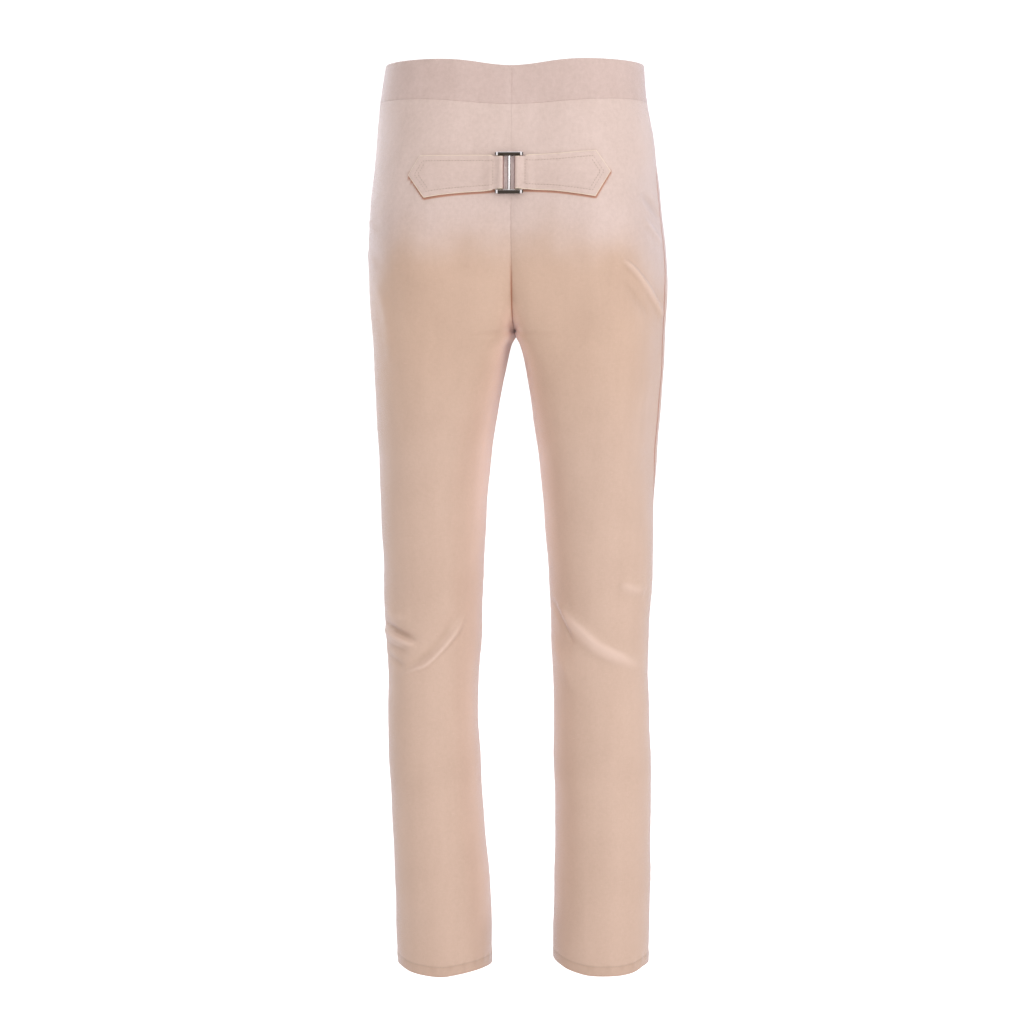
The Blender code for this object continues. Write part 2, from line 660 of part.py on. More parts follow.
def join_metal(collection, cutters, item, shape, material):
    """Start the buckle with a shape, or weld a further shape to it."""
    if item is None:
        mesh = bpy.data.meshes.new("buckle")
        shape.to_mesh(mesh)
        shape.free()
        return add_object(collection, "buckle", mesh, material)
    mesh = bpy.data.meshes.new("buckle_piece")
    shape.to_mesh(mesh)
    shape.free()
    piece = bpy.data.objects.new("buckle_piece", mesh)
    cutters.objects.link(piece)
    piece.hide_render = True
    piece.display_type = "WIRE"
    union = item.modifiers.new("Weld piece", "BOOLEAN")
    union.operation = "UNION"
    union.object = piece
    return item


def tab_end(tab, v):
    """Distance of a tab's pointed end from the centre plane, at a share v of its height."""
    if v <= TAB_TIP:
        return tab.bottom_corner + (tab.tip - tab.bottom_corner) * v / TAB_TIP
    return tab.tip + (tab.top_corner - tab.tip) * (v - TAB_TIP) / (1.0 - TAB_TIP)


def tab_height(tab, x, v):
    """Height of a point of a tab at a distance from the centre plane."""
    top = tab.edges.read("top", x)
    bottom = tab.edges.read("bottom", x)
    return bottom + (top - bottom) * v


def tab_base(tab, x, v, rod_x):
    """Seat point under a tab, on the buckle's plane near the rod, and the normal there."""
    z = tab_height(tab, x, v)
    point, normal = place_on_surface(BACK, tab.sign * x, z)
    origin, up, out = buckle_frame()
    plane = origin - out * (rod_height() - CHORD_LIFT)
    depth = plane.y + up.y * (z - plane.z) / up.z
    depth += chord_depth(tab.sign * x, z) - chord_depth(tab.sign * rod_x, z)
    straight = Vector((tab.sign * x, depth, z))
    far = ease((x - rod_x - RETURN_LENGTH) / (FLATTEN_END - RETURN_LENGTH))
    return straight.lerp(point, far), out.lerp(normal, far).normalized()


def layer_height(distance):
    """Height of a tab's upper layer over the seat, at a distance from the rod."""
    loop_top = SEAM_GAP + TAB_CLOTH / 2 + 2 * (ROD_RADIUS + SEAM_GAP + TAB_CLOTH / 2)
    doubled = 2 * SEAM_GAP + 1.5 * TAB_CLOTH
    single = TAB_LIFT + TAB_CLOTH / 2
    height = loop_top + (doubled - loop_top) * ease(distance / (RETURN_LENGTH * 0.8))
    past = ease((distance - RETURN_LENGTH - 0.001) / 0.010)
    return height + (single - doubled) * past


def tab_row(tab, v, rod_x):
    """Middle points and normals along one row of a tab, from its point round the rod and back."""
    end = tab_end(tab, v)
    far_start = rod_x + TAB_COLUMNS[-1]
    xs = [rod_x + step for step in TAB_COLUMNS]
    for index in range(1, TAB_FAR_STEPS + 1):
        xs.append(far_start + (end - far_start) * index / TAB_FAR_STEPS)
    row = []
    for x in reversed(xs):
        base, normal = tab_base(tab, x, v, rod_x)
        row.append((base + normal * layer_height(x - rod_x), normal))
    base, normal = tab_base(tab, rod_x, v, rod_x)
    radius = ROD_RADIUS + SEAM_GAP + TAB_CLOTH / 2
    centre = base + normal * (SEAM_GAP + TAB_CLOTH / 2 + radius)
    inward = Vector((-tab.sign, 0.0, 0.0))
    inward = (inward - normal * inward.dot(normal)).normalized()
    for index in range(1, LOOP_STEPS + 1):
        angle = math.pi * index / LOOP_STEPS
        spoke = normal * math.cos(angle) + inward * math.sin(angle)
        row.append((centre + spoke * radius, spoke))
    for index in range(1, RETURN_STEPS + 1):
        x = rod_x + RETURN_LENGTH * index / RETURN_STEPS
        base, normal = tab_base(tab, x, v, rod_x)
        row.append((base + normal * (SEAM_GAP + TAB_CLOTH / 2), -normal))
    return row


def make_tabs(collection, material):
    """The two half belt tabs, lying on the seat and folded round the buckle's outer rods."""
    for name, tab in TABS.items():
        rod_x = abs(BUCKLE_X + tab.sign * ROD_SPACING)
        rows = [tab_row(tab, v, rod_x) for v in TAB_ROWS]
        outer = [[point + normal * TAB_CLOTH / 2 for point, normal in row] for row in rows]
        inner = [[point - normal * TAB_CLOTH / 2 for point, normal in row] for row in rows]
        add_wall(collection, name, outer, inner, material, tab.sign < 0)


def main():
    """Build the garment."""
    clear_scene()
    parts = make_collection("fall_front_trousers")
    cutters = make_collection("buckle_pieces")
    cloth = make_material("trouser_cloth", CLOTH_LOOK)
    band = make_material("waistband_cloth", BAND_LOOK)
    tab = make_material("tab_cloth", TAB_LOOK)
    metal = make_material("buckle_metal", METAL_LOOK)
    horn = make_material("button_horn", BUTTON_LOOK)
    make_panels(parts, cloth)
    make_waistband(parts, band)
    make_fall(parts, cloth)
    make_buttons(parts, horn)
    make_buckle(parts, cutters, metal)
    make_tabs(parts, tab)


if __name__ == "__main__":
    main()
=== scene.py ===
"""Fall-front trousers, filled out as if worn: cloth, seams, fall, half belt, buckle and buttons.

Metres, +Z up. The front faces -Y, the back +Y and the wearer's left is +X. The origin is the middle
of the waistband's ring. Each cloth piece is a thin wall on the form of its solid in the frame, with
its creases, rolled seams and stitches added.
"""

import math
from collections import namedtuple

import bpy
import numpy as np
from bpy.props import FloatProperty, FloatVectorProperty, PointerProperty
from mathutils import Matrix, Vector


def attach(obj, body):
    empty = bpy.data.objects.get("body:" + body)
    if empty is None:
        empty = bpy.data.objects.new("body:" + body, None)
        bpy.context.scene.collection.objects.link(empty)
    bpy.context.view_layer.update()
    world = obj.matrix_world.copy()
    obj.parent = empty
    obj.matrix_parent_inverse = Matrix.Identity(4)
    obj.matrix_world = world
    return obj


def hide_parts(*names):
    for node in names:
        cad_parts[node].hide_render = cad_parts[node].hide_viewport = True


bl_info = {
    "name": "Fall-front trousers",
    "version": (1, 0, 0),
    "blender": (4, 5, 0),
    "location": "3D View > Sidebar > Trousers",
    "description": "Builds a pair of fall-front trousers with a half belt, buckle and buttons",
    "category": "Object",
}

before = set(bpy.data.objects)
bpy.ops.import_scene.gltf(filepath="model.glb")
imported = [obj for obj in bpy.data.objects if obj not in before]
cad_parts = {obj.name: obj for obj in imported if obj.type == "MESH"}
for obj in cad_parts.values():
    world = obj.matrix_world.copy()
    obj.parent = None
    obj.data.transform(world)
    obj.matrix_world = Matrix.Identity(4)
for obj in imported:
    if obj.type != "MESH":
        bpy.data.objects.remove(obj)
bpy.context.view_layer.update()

# Faces and legs
BACK = 1
FRONT = -1
SIGNS = {"left": 1, "right": -1}

# Cloth and seams
SEAM_GAP = 0.0003
PANEL_GAP = 0.00004
BAND_INSET = 0.0003
HEM_DEPTH = 0.0115
HEM_EXTRA = 0.0011

# Heights: a drop is measured down from the waist seam
BAND_HEIGHT = 0.043
WAIST_SEAM_Z = -BAND_HEIGHT / 2
HEM_DROP = 1.002
BACK_DIP = 0.0085
DIP_WIDTH_TOP = 0.050
DIP_WIDTH_SEAM = 0.085
DIP_END_DROP = 0.120
LEVEL_DROP = 0.030

# Plan curves
ROUND = 0.57
SPLIT = 0.42
CROTCH_ROW = 0.277
SEAM_STEP = 0.0015
SIDE_TUCK = {"left": 0.0, "right": 0.0026}
TUCK_LEAN = 6.0
# Drops between which the side seam's tuck comes in under the waist and goes out over the knee
TUCK_IN = (0.05, 0.10)
TUCK_OUT = (0.50, 0.38)
INSEAM_TURN = 0.1
ROOT_STEPS = (-0.04, -0.02, 0.0, 0.02, 0.04)
HEM_TURN_DROP = 0.930
# The step that a surface's direction is measured over
STEP = 0.0005
# A place on the surface is found by halving its share, again for each guess of its drop
LEVEL_ROUNDS = 5
HALVINGS = 20


class Table:
    """Rows of named sizes, read between the rows on smooth curves that never overshoot."""

    def __init__(self, names, rows):
        grid = np.array(rows, float)
        self.keys = grid[:, 0]
        self.columns = {}
        for name, values in zip(names.split()[1:], grid.T[1:]):
            rises = np.diff(values) / np.diff(self.keys)
            before, after = rises[:-1], rises[1:]
            same_way = before * after > 0.0
            total = np.where(same_way, before + after, 1.0)
            inner = np.where(same_way, 2.0 * before * after / total, 0.0)
            self.columns[name] = (values, np.concatenate([rises[:1], inner, rises[-1:]]))

    def read(self, name, at):
        """Values of one column at places along the first column."""
        values, slopes = self.columns[name]
        at = np.clip(at, self.keys[0], self.keys[-1])
        i = np.clip(np.searchsorted(self.keys, at, side="right") - 1, 0, len(self.keys) - 2)
        length = self.keys[i + 1] - self.keys[i]
        t = (at - self.keys[i]) / length
        low = values[i]
        rise = values[i + 1] - low
        start = slopes[i] * length
        end = slopes[i + 1] * length
        return low + t * (start + t * (3 * rise - 2 * start - end + t * (start + end - 2 * rise)))


# One row is one plan section. Back and front are the fullest depths, the same for both legs. Then
# come, for each leg, the distances of its outer and inner edge from the centre plane, and the side
# seam's place along Y.
SECTIONS = Table(
    "drop back front left_outer left_inner left_side right_outer right_inner right_side", [
    (-0.043, 0.1050, 0.1060, 0.1502, 0.000, 0.000, 0.1462, 0.000, 0.002),
    (0.000, 0.1100, 0.1080, 0.1564, 0.000, 0.000, 0.1498, 0.000, 0.006),
    (0.040, 0.1185, 0.1110, 0.1604, 0.000, 0.002, 0.1572, 0.000, 0.012),
    (0.080, 0.1265, 0.1125, 0.1640, 0.000, 0.004, 0.1630, 0.000, 0.016),
    (0.120, 0.1290, 0.1120, 0.1670, 0.000, 0.006, 0.1670, 0.000, 0.020),
    (0.165, 0.1295, 0.1080, 0.1688, 0.000, 0.007, 0.1706, 0.000, 0.022),
    (0.205, 0.1265, 0.1030, 0.1682, 0.000, 0.007, 0.1726, 0.000, 0.022),
    (0.261, 0.1160, 0.0960, 0.1660, 0.000, 0.006, 0.1718, 0.000, 0.018),
    (0.275, 0.1130, 0.0945, 0.1654, 0.0066, 0.005, 0.1712, 0.0050, 0.016),
    (0.300, 0.1070, 0.0915, 0.1642, 0.0116, 0.004, 0.1700, 0.0109, 0.014),
    (0.350, 0.0960, 0.0875, 0.1618, 0.0212, 0.001, 0.1664, 0.0193, 0.010),
    (0.410, 0.0840, 0.0830, 0.1594, 0.0301, -0.002, 0.1616, 0.0273, 0.006),
    (0.470, 0.0730, 0.0790, 0.1574, 0.0344, -0.005, 0.1590, 0.0325, 0.000),
    (0.530, 0.0630, 0.0750, 0.1548, 0.0390, -0.007, 0.1574, 0.0370, -0.004),
    (0.570, 0.0575, 0.0735, 0.1546, 0.0409, -0.008, 0.1556, 0.0389, -0.006),
    (0.610, 0.0555, 0.0720, 0.1532, 0.0417, -0.008, 0.1540, 0.0404, -0.006),
    (0.650, 0.0560, 0.0690, 0.1516, 0.0436, -0.006, 0.1537, 0.0418, -0.004),
    (0.700, 0.0590, 0.0650, 0.1501, 0.0446, -0.003, 0.1554, 0.0440, -0.002),
    (0.780, 0.0630, 0.0610, 0.1473, 0.0412, 0.000, 0.1564, 0.0450, 0.000),
    (0.860, 0.0640, 0.0605, 0.1442, 0.0355, 0.001, 0.1570, 0.0447, 0.000),
    (0.940, 0.0630, 0.0610, 0.1414, 0.0295, 0.001, 0.1561, 0.0440, 0.000),
    (1.002, 0.0625, 0.0620, 0.1390, 0.0285, 0.001, 0.1556, 0.0440, 0.000),
])

# The seam through the fork. A section's inner end drops to seam_drop, turn is the angle there
# between the cloth and the X axis, in degrees, and full is where the fullest depth lies, as a
# share of the way from the inner to the outer edge. Corner says how full the section's inner corner
# is: 1 would make it square.
FORK = Table("drop seam_drop back_seam front_seam back_turn front_turn corner full", [
    (-0.043, -0.043, 0.1050, 0.1060, 0, 0, 0.58, 0.30),
    (0.000, 0.000, 0.1100, 0.1080, 0, 0, 0.58, 0.32),
    (0.040, 0.040, 0.1180, 0.1110, 2, 0, 0.58, 0.34),
    (0.080, 0.080, 0.1252, 0.1125, 5, 0, 0.58, 0.38),
    (0.120, 0.1188, 0.1268, 0.1115, 9, 3, 0.60, 0.42),
    (0.165, 0.1622, 0.1242, 0.1060, 17, 9, 0.62, 0.46),
    (0.205, 0.1992, 0.1166, 0.0978, 28, 25, 0.68, 0.48),
    (0.235, 0.226, 0.1066, 0.0848, 40, 46, 0.76, 0.49),
    (0.252, 0.240, 0.0950, 0.0695, 54, 64, 0.84, 0.50),
    (0.264, 0.2494, 0.0780, 0.0545, 70, 76, 0.91, 0.50),
    (0.271, 0.2554, 0.0540, 0.0355, 82, 84, 0.95, 0.50),
    (0.277, 0.261, 0.0000, 0.0000, 90, 90, 0.955, 0.50),
    (0.290, 0.2748, 0.0000, 0.0000, 90, 90, 0.93, 0.50),
    (0.310, 0.297, 0.0000, 0.0000, 90, 90, 0.86, 0.50),
    (0.350, 0.344, 0.0000, 0.0000, 90, 90, 0.72, 0.50),
    (0.410, 0.409, 0.0000, 0.0000, 90, 90, 0.60, 0.50),
    (0.470, 0.470, 0.0000, 0.0000, 90, 90, 0.57, 0.50),
    (1.002, 1.002, 0.0000, 0.0000, 90, 90, 0.57, 0.50),
])

# How much higher than the level hem each back hem is, from its inseam to its side seam
HEM = Table("u left right", [
    (0.00, 0.0025, 0.0120),
    (0.14, 0.0040, 0.0100),
    (0.22, 0.0036, 0.0070),
    (0.30, 0.0022, 0.0045),
    (0.36, 0.0006, 0.0029),
    (0.42, -0.0008, 0.0025),
    (0.55, 0.0003, 0.0025),
    (0.68, 0.0018, 0.0034),
    (0.84, 0.0044, 0.0070),
    (1.00, 0.0025, 0.0062),
])

# Creases in the cloth of each panel, along a line of (distance from the centre plane, drop) in
# millimetres as the panel is seen square on. Over and under are the crease's widths towards the
# waist and towards the hem, and lift is how far it stands out, less than nothing for a trough.
Crease = namedtuple("Crease", "line over under lift")
CREASES = {
    ("left", BACK): [
        Crease(
            ((134, 656), (116, 647), (101, 641), (85, 626), (73, 612), (65, 600), (55, 579)),
            4.4, 2.6, 3.2),
        Crease(((126, 646), (108, 635), (90, 618), (76, 600), (66, 584)), 6.0, 4.0, -1.8),
        Crease(((154, 596), (143, 601), (135, 605), (127, 608), (112, 613)), 4.5, 3.5, -3.6),
        Crease(((156, 605), (140, 610), (126, 615), (112, 618)), 3.0, 5.0, 3.6),
        Crease(((154, 619), (138, 623), (122, 626)), 3.0, 4.0, -1.8),
        Crease(((152, 585), (138, 587), (120, 588)), 7.0, 5.0, 2.0),
        Crease(((152, 634), (140, 638), (126, 645)), 5.0, 4.0, -2.0),
        Crease(((43, 400), (50, 450), (53, 500), (50, 545)), 7.0, 7.0, 1.0),
        Crease(((156, 204), (146, 226), (140, 256), (136, 300)), 6.5, 6.5, 1.6),
        Crease(((165, 132), (159, 140), (153, 149)), 3.5, 4.5, 1.8),
        Crease(((167, 168), (160, 178), (153, 189)), 3.5, 4.5, 1.8),
    ],
    ("right", BACK): [
        Crease(
            ((48, 571), (61, 587), (78, 602), (94, 616), (112, 626), (126, 633), (152, 650)),
            6.5, 10.0, 4.4),
        Crease(((37, 561), (47, 577), (54, 589), (60, 601), (68, 618)), 3.0, 3.5, -2.6),
        Crease(((42, 606), (48, 626), (60, 650), (66, 672)), 6.0, 6.0, 1.4),
        Crease(((150, 557), (132, 551), (120, 546)), 6.0, 8.0, 2.6),
        Crease(
            ((122, 178), (131, 186), (141, 197), (152, 213), (163, 232), (171, 248)),
            2.2, 3.4, 5.2),
        Crease(((120, 198), (138, 219), (156, 247)), 4.0, 8.0, -1.6),
        Crease(((146, 134), (157, 147), (168, 162)), 2.2, 3.0, 2.8),
        Crease(((144, 104), (156, 118), (165, 134)), 4.0, 5.0, -2.0),
    ],
    ("left", FRONT): [
        Crease(((60, 560), (95, 584), (135, 572)), 9.0, 11.0, 2.2),
        Crease(((58, 640), (90, 652), (130, 632)), 9.0, 10.0, -1.8),
        Crease(((64, 600), (92, 614), (112, 606)), 6.0, 7.0, 1.4),
        Crease(((24, 262), (60, 228), (110, 205)), 9.0, 11.0, 2.0),
        Crease(((22, 282), (52, 262), (84, 252)), 6.0, 8.0, 1.2),
    ],
    ("right", FRONT): [
        Crease(((58, 575), (100, 592), (142, 570)), 9.0, 11.0, 2.2),
        Crease(((66, 655), (100, 660), (138, 640)), 9.0, 10.0, -1.8),
        Crease(((70, 618), (98, 630), (124, 618)), 6.0, 7.0, 1.4),
        Crease(((24, 258), (58, 222), (104, 196)), 9.0, 11.0, 2.0),
        Crease(((22, 276), (50, 256), (80, 244)), 6.0, 8.0, 1.2),
    ],
}
CREASE_STEPS = 12
CREASE_REACH = 3.5
# Above this height the centre seam is pressed flat, and it opens over this length below it
SEAM_FADE_Z = -0.160
SEAM_FADE = 0.06
# A crease or a fold runs out towards a seam over these lengths
WAIST_CALM = 0.02
SEAM_CALM = 0.012
# What lies flat on the panels behind and in front: half its width, its top and its bottom
COVERED = {BACK: (0.114, -0.081, -0.135), FRONT: (0.105, 0.0215, -0.206)}
COVERED_CALM = 0.016
# Slow waves in worn cloth: a height in metres, how fast the wave turns along X, Y and Z in radians
# a metre, and where it starts
WAVES = [
    (0.00050, (38, 0, 21), 0.0),
    (0.00045, (0, 29, -33), 1.1),
    (0.00030, (71, 0, -52), 2.4),
    (0.00022, (0, 60, 95), 0.0),
]
RIPPLE = (0.00010, (190, 0, 140), (0, -110, 150))
# How far from the fork, across and down, the two legs' cloth is held face to face
HELD_ACROSS = 0.004
HELD_DROP = 0.03
# Shade in the seams that show: how dark, and how wide
SIDE_SHADE = (1.5, 0.0022)
HEM_SHADE = (0.4, 0.0011)
CENTRE_SHADE = (1.0, 0.0014)
CENTRE_SHADE_START = (-0.19, -0.24)
# Painted shadow under a tab: how dark, and between which distances from its edge it comes in
TAB_SHADE = 1.4
TAB_SHADE_REACH = (0.0032, 0.0010)
# Painted light along the inseam, in the shade between the legs: heights where it starts, widens,
# gets weaker and ends, and its width
INSEAM_LIGHT_START = (-0.24, -0.28)
INSEAM_LIGHT_LEG = (-0.285, -0.335)
INSEAM_LIGHT_CALF = (-0.45, -0.60)
INSEAM_LIGHT_END = (-0.99, -0.93)
INSEAM_LIGHT_WIDTH = 0.010
INSEAM_LIGHT_WIDENING = 0.003
# Painted light on the seat behind the buckle, from and to these distances from its middle
LIGHT_BEHIND_BUCKLE = (0.0062, 0.0052)
# Radius of the roll at a panel's sewn edges, and its depth as a share of the cloth's thickness
ROLL_RADIUS = 0.0006
ROLL_DEPTH = 0.2

# Spacing of a panel's rows: each band ends at a drop and has a number of equal steps
ROW_BANDS = [
    (0.0006, 2), (0.0022, 3), (0.0080, 4), (0.098, 20), (0.118, 28), (0.245, 44), (0.285, 28),
    (0.300, 6), (0.540, 44), (0.690, 102), (0.975, 44), (0.9955, 14), (0.9996, 5), (1.0012, 4),
    (HEM_DROP, 3),
]
# Places of the first columns of a panel, as shares, and of the first rows of a doubled piece
PANEL_EDGE = (0.0, 0.0006, 0.0014, 0.0026, 0.0046, 0.0080, 0.0130, 0.0200)
DOUBLED_EDGE = (0.0, 0.0002, 0.0005, 0.0010, 0.0018, 0.0030)
BACK_COLUMNS = 118
FRONT_COLUMNS = 78
BAND_ROWS = 26
FALL_ROWS = 120
FALL_COLUMNS = 112

# The fall: its heights, half widths, lift off the panels and sag between the buttons
FALL_TOP = 0.0145
FALL_BOTTOM = -0.2050
FALL_HEIGHT = FALL_TOP - FALL_BOTTOM
FALL_HALF_TOP = 0.1040
FALL_HALF_BOTTOM = 0.0960
FALL_LIFT = 0.0006
FALL_SAG = 0.0010
# Its stitching: the distance from the edges, and at the foot the height and spacing of two rows
FALL_STITCH = 0.0065
FALL_FOOT_STITCH = 0.0022
FALL_FOOT_SPACING = 0.006
FALL_FOOT_END = 0.985

# Buttons, with their holes and the thread through them
BUTTON_RADIUS = 0.0085
BUTTON_HEIGHT = 0.0034
BUTTON_Z = 0.0005
BUTTON_X = {"fall_button_left": 0.082, "fall_button_centre": 0.0, "fall_button_right": -0.082}
BUTTON_RIM = 0.0021
BUTTON_SLOPE = 0.0010
BUTTON_DISH = 0.0011
BUTTON_EDGE = 0.00055
HOLE_RADIUS = 0.00075
HOLE_PLACE = 0.0022
STRAND_SIZE = (0.0027, 0.00027, 0.00042)
STRAND_ASIDE = 0.00026
STRAND_SUNK = 0.0009
SLIT_LENGTH = 0.019
SLIT_START = 0.004
SLIT_ASIDE = 0.0014
SLIT_STITCHES = 34
SLIT_STITCH = 0.0024

# Buckle
BUCKLE_X = 0.0017
BUCKLE_TOP = -0.0862
BUCKLE_BOTTOM = -0.1277
BAR_LENGTH = 0.0310
BAR_HEIGHT = 0.0048
BAR_DEPTH = 0.0046
BAR_CHAMFER = 0.0012
ROD_RADIUS = 0.0015
CENTRE_ROD_RADIUS = 0.0017
ROD_SPACING = 0.0092
BUCKLE_EDGE = 0.00022
# Painted dark reflections on the buckle: a bar between two heights from its middle, without the
# bright ends between two distances from the middle rod, and that rod's edges, as far as the bars
BAR_DARK = ((-0.0023, -0.0019), (0.0017, 0.0021))
BRIGHT_END = ((0.0120, 0.0127), (0.0140, 0.0146))
ROD_DARK = (0.0007, 0.0013)
ROD_END = (0.0020, 0.0030)

# Half belt tabs: top and bottom edges at distances from the centre plane
TAB_EDGE = "x top bottom"
Tab = namedtuple("Tab", "leg edges top_corner tip bottom_corner")
TABS = {
    "tab_left": Tab("left", Table(TAB_EDGE, [
        (0.0182, -0.0891, -0.1248),
        (0.0225, -0.0874, -0.1264),
        (0.050, -0.0872, -0.1282),
        (0.075, -0.0872, -0.1305),
        (0.098, -0.0872, -0.1340),
    ]), 0.1005, 0.1134, 0.0956),
    "tab_right": Tab("right", Table(TAB_EDGE, [
        (0.0148, -0.0891, -0.1248),
        (0.0190, -0.0872, -0.1252),
        (0.045, -0.0860, -0.1262),
        (0.070, -0.0838, -0.1290),
        (0.093, -0.0818, -0.1324),
    ]), 0.0930, 0.1087, 0.0928),
}
# Where the point lies between bottom and top edge, the tab's lift off the seat, its return round
# the rod, where it has left the buckle's plane, and its stitching
TAB_TIP = 0.55
TAB_LIFT = 0.0006
RETURN_LENGTH = 0.010
FLATTEN_END = 0.026
CHORD_LIFT = 0.0008
TAB_STITCH = 0.0062
TAB_PITCH = 0.0033
TAB_SECOND_ROW = 0.0034
# Rows and columns of a tab's mesh, as shares of its height and of its length
TAB_ROWS = [
    0.0, 0.006, 0.014, 0.026, 0.045, *np.linspace(0.07, 0.93, 50), 0.955, 0.974, 0.986, 0.994, 1.0]
TAB_COLUMNS = [*np.linspace(0.0, 0.9, 88), 0.93, 0.955, 0.972, 0.984, 0.992, 0.997, 1.0]
TURN_STEPS = 16
RETURN_STEPS = 8

# Light: each lamp's place in metres, its size, its colour and its share of the lamps' power
Lamp = namedtuple("Lamp", "name place size colour share")
LAMPS = [
    Lamp("key", (-2.1, 2.6, 0.2), 1.4, (1.0, 1.0, 1.0), 0.90),
    Lamp("high", (-0.9, 1.6, 2.6), 1.5, (0.90, 0.95, 1.0), 0.35),
    Lamp("front", (1.8, -2.8, 0.4), 2.0, (1.0, 1.0, 1.0), 0.9),
]
# Heights between which the seat turns from the colour of the legs to a paler and pinker one, a
# painted sheen of the light from above, how unevenly it does, and how much lower beyond a distance
# from the centre plane
UPPER_SEAT_LOW = -0.216
UPPER_SEAT_HIGH = -0.138
UPPER_SEAT_UNEVEN = 0.05
UPPER_SEAT_ASIDE = (0.115, 0.170)
UPPER_SEAT_ASIDE_DROP = 0.045
# Heights between which painted shade under the seat comes in, and a warmer painted shade under it
# starts and ends
UNDER_SEAT_SHADE = (-0.19, -0.10)
WARM_SHADE_START = (-0.215, -0.165)
WARM_SHADE_END = (-0.44, -0.28)
# The painted sheen's colour on the upper seat
SEAT_SHEEN_TINT = (1.03, 1.13, 1.30, 1.0)
# Colours that the cloth is multiplied by: painted shade under the seat and a warmer one below it,
# painted light inside the legs, and painted shade in seams and under the tabs
UNDER_SEAT_SHADE_TINT = (0.955, 0.95, 0.955, 1.0)
WARM_SHADE_TINT = (0.98, 0.955, 0.915, 1.0)
INSEAM_LIGHT_TINT = (1.58, 1.70, 1.84, 1.0)
SEAM_AND_SHADOW_TINT = (0.72, 0.44, 0.33, 1.0)
# Painted shade where a tab folds round the rod
FOLD_SHADE_TINT = (0.42, 0.24, 0.22, 1.0)
# Painted highlight on ridges in the cloth
RIDGE_HIGHLIGHT = (0.76, 0.56, 0.47, 1.0)
# Painted highlight along a tab's edges
TAB_EDGE_HIGHLIGHT = (0.84, 0.70, 0.52, 1.0)
LAMP_TARGET = (0.0, 0.0, -0.45)
BACKDROP_STRENGTH = 1.2
WHITE = (1.0, 1.0, 1.0, 1.0)
# The light all round is weaker from this side
DIM_SIDE = (1.0, 0.0, 0.0)
DIM_SHARE = 0.76
FLOOR_GLOW = 0.35
FLOOR_RADIUS = 40.0
# Edges of hard pieces flatter than this are shaded smooth
SMOOTH_ANGLE = math.radians(35)
# Length of one turn of the two plies of a thread
PLY_PITCH = 0.0007
# Sockets of a Mix node that mixes colours
MIX_FACTOR, MIX_FIRST, MIX_SECOND, MIX_RESULT = 0, 6, 7, 2


def ease(value):
    """A soft step from 0 to 1."""
    value = np.clip(value, 0.0, 1.0)
    return value * value * (3.0 - 2.0 * value)


def between(value, start, end):
    """A soft step from 0 to 1 as a value goes from start to end, up or down."""
    return ease((value - start) / (end - start))


def hump(distance, width):
    """A soft hump of height 1 at no distance."""
    return np.exp(-(distance / width) ** 2)


def ridges(*rows):
    """Relief from rows of a height, a distance, the place there and the width of a ridge."""
    return sum(height * hump(distance - place, width) for height, distance, place, width in rows)


def unit(vectors):
    """The same vectors, one metre long."""
    return vectors / np.linalg.norm(vectors, axis=-1, keepdims=True)


def curve_point(a, b, c, d, t):
    """Point of a cubic curve with ends a and d and handles b and c."""
    s = 1.0 - t
    return a * s ** 3 + b * (3 * s * s * t) + c * (3 * s * t * t) + d * t ** 3


def settings():
    """The sizes and colours in the sidebar."""
    return bpy.context.scene.fall_front_trousers


def back_dip(x, drop, u):
    """How far the back waist is cut down at a distance from the centre seam, none at the side."""
    share = between(drop, -BAND_HEIGHT, 0.0)
    width = DIP_WIDTH_TOP + (DIP_WIDTH_SEAM - DIP_WIDTH_TOP) * share
    return BACK_DIP * between(drop, DIP_END_DROP, 0.0) * (1.0 - u ** 4) * hump(x, width)


def tucked(drop):
    """1 where the side seam lies a little round to the back, 0 at the waist and the knee."""
    return between(drop, *TUCK_IN) * between(drop, *TUCK_OUT)


def face_name(face):
    """The face's word in the names of columns, pieces and cuts."""
    return "back" if face == BACK else "front"


def plan_point(leg, face, drop, u):
    """Places on the sections in their own planes: x from the centre plane, y out to the face."""
    side_name = face_name(face)
    outer, inner, side, root = leg_edges(leg, face, drop)
    seam = FORK.read(side_name + "_seam", drop)
    seam = seam + side * between(drop, CROTCH_ROW, CROTCH_ROW + INSEAM_TURN)
    full_x = root + (outer - root) * FORK.read("full", drop)
    full_y = SECTIONS.read(side_name, drop)
    turn = np.radians(FORK.read(side_name + "_turn", drop))
    corner = FORK.read("corner", drop)
    reach = full_x - inner
    handle = corner / np.hypot(np.cos(turn) / reach, np.sin(turn) / (full_y - seam + SEAM_STEP))
    t = np.clip(u / SPLIT, 0.0, 1.0)
    near_x = curve_point(inner, inner + np.cos(turn) * handle, full_x - corner * reach, full_x, t)
    near_y = curve_point(seam, seam + np.sin(turn) * handle, full_y, full_y, t)
    t = np.clip((u - SPLIT) / (1.0 - SPLIT), 0.0, 1.0)
    tuck = SIDE_TUCK[leg] * tucked(drop)
    end_x = outer - tuck
    lean_x = end_x - face * TUCK_LEAN * tuck
    far_x = curve_point(full_x, full_x + ROUND * (outer - full_x), lean_x, end_x, t)
    far_y = curve_point(full_y, full_y, side + ROUND * (full_y - side), side, t)
    return np.where(u < SPLIT, near_x, far_x), np.where(u < SPLIT, near_y, far_y)


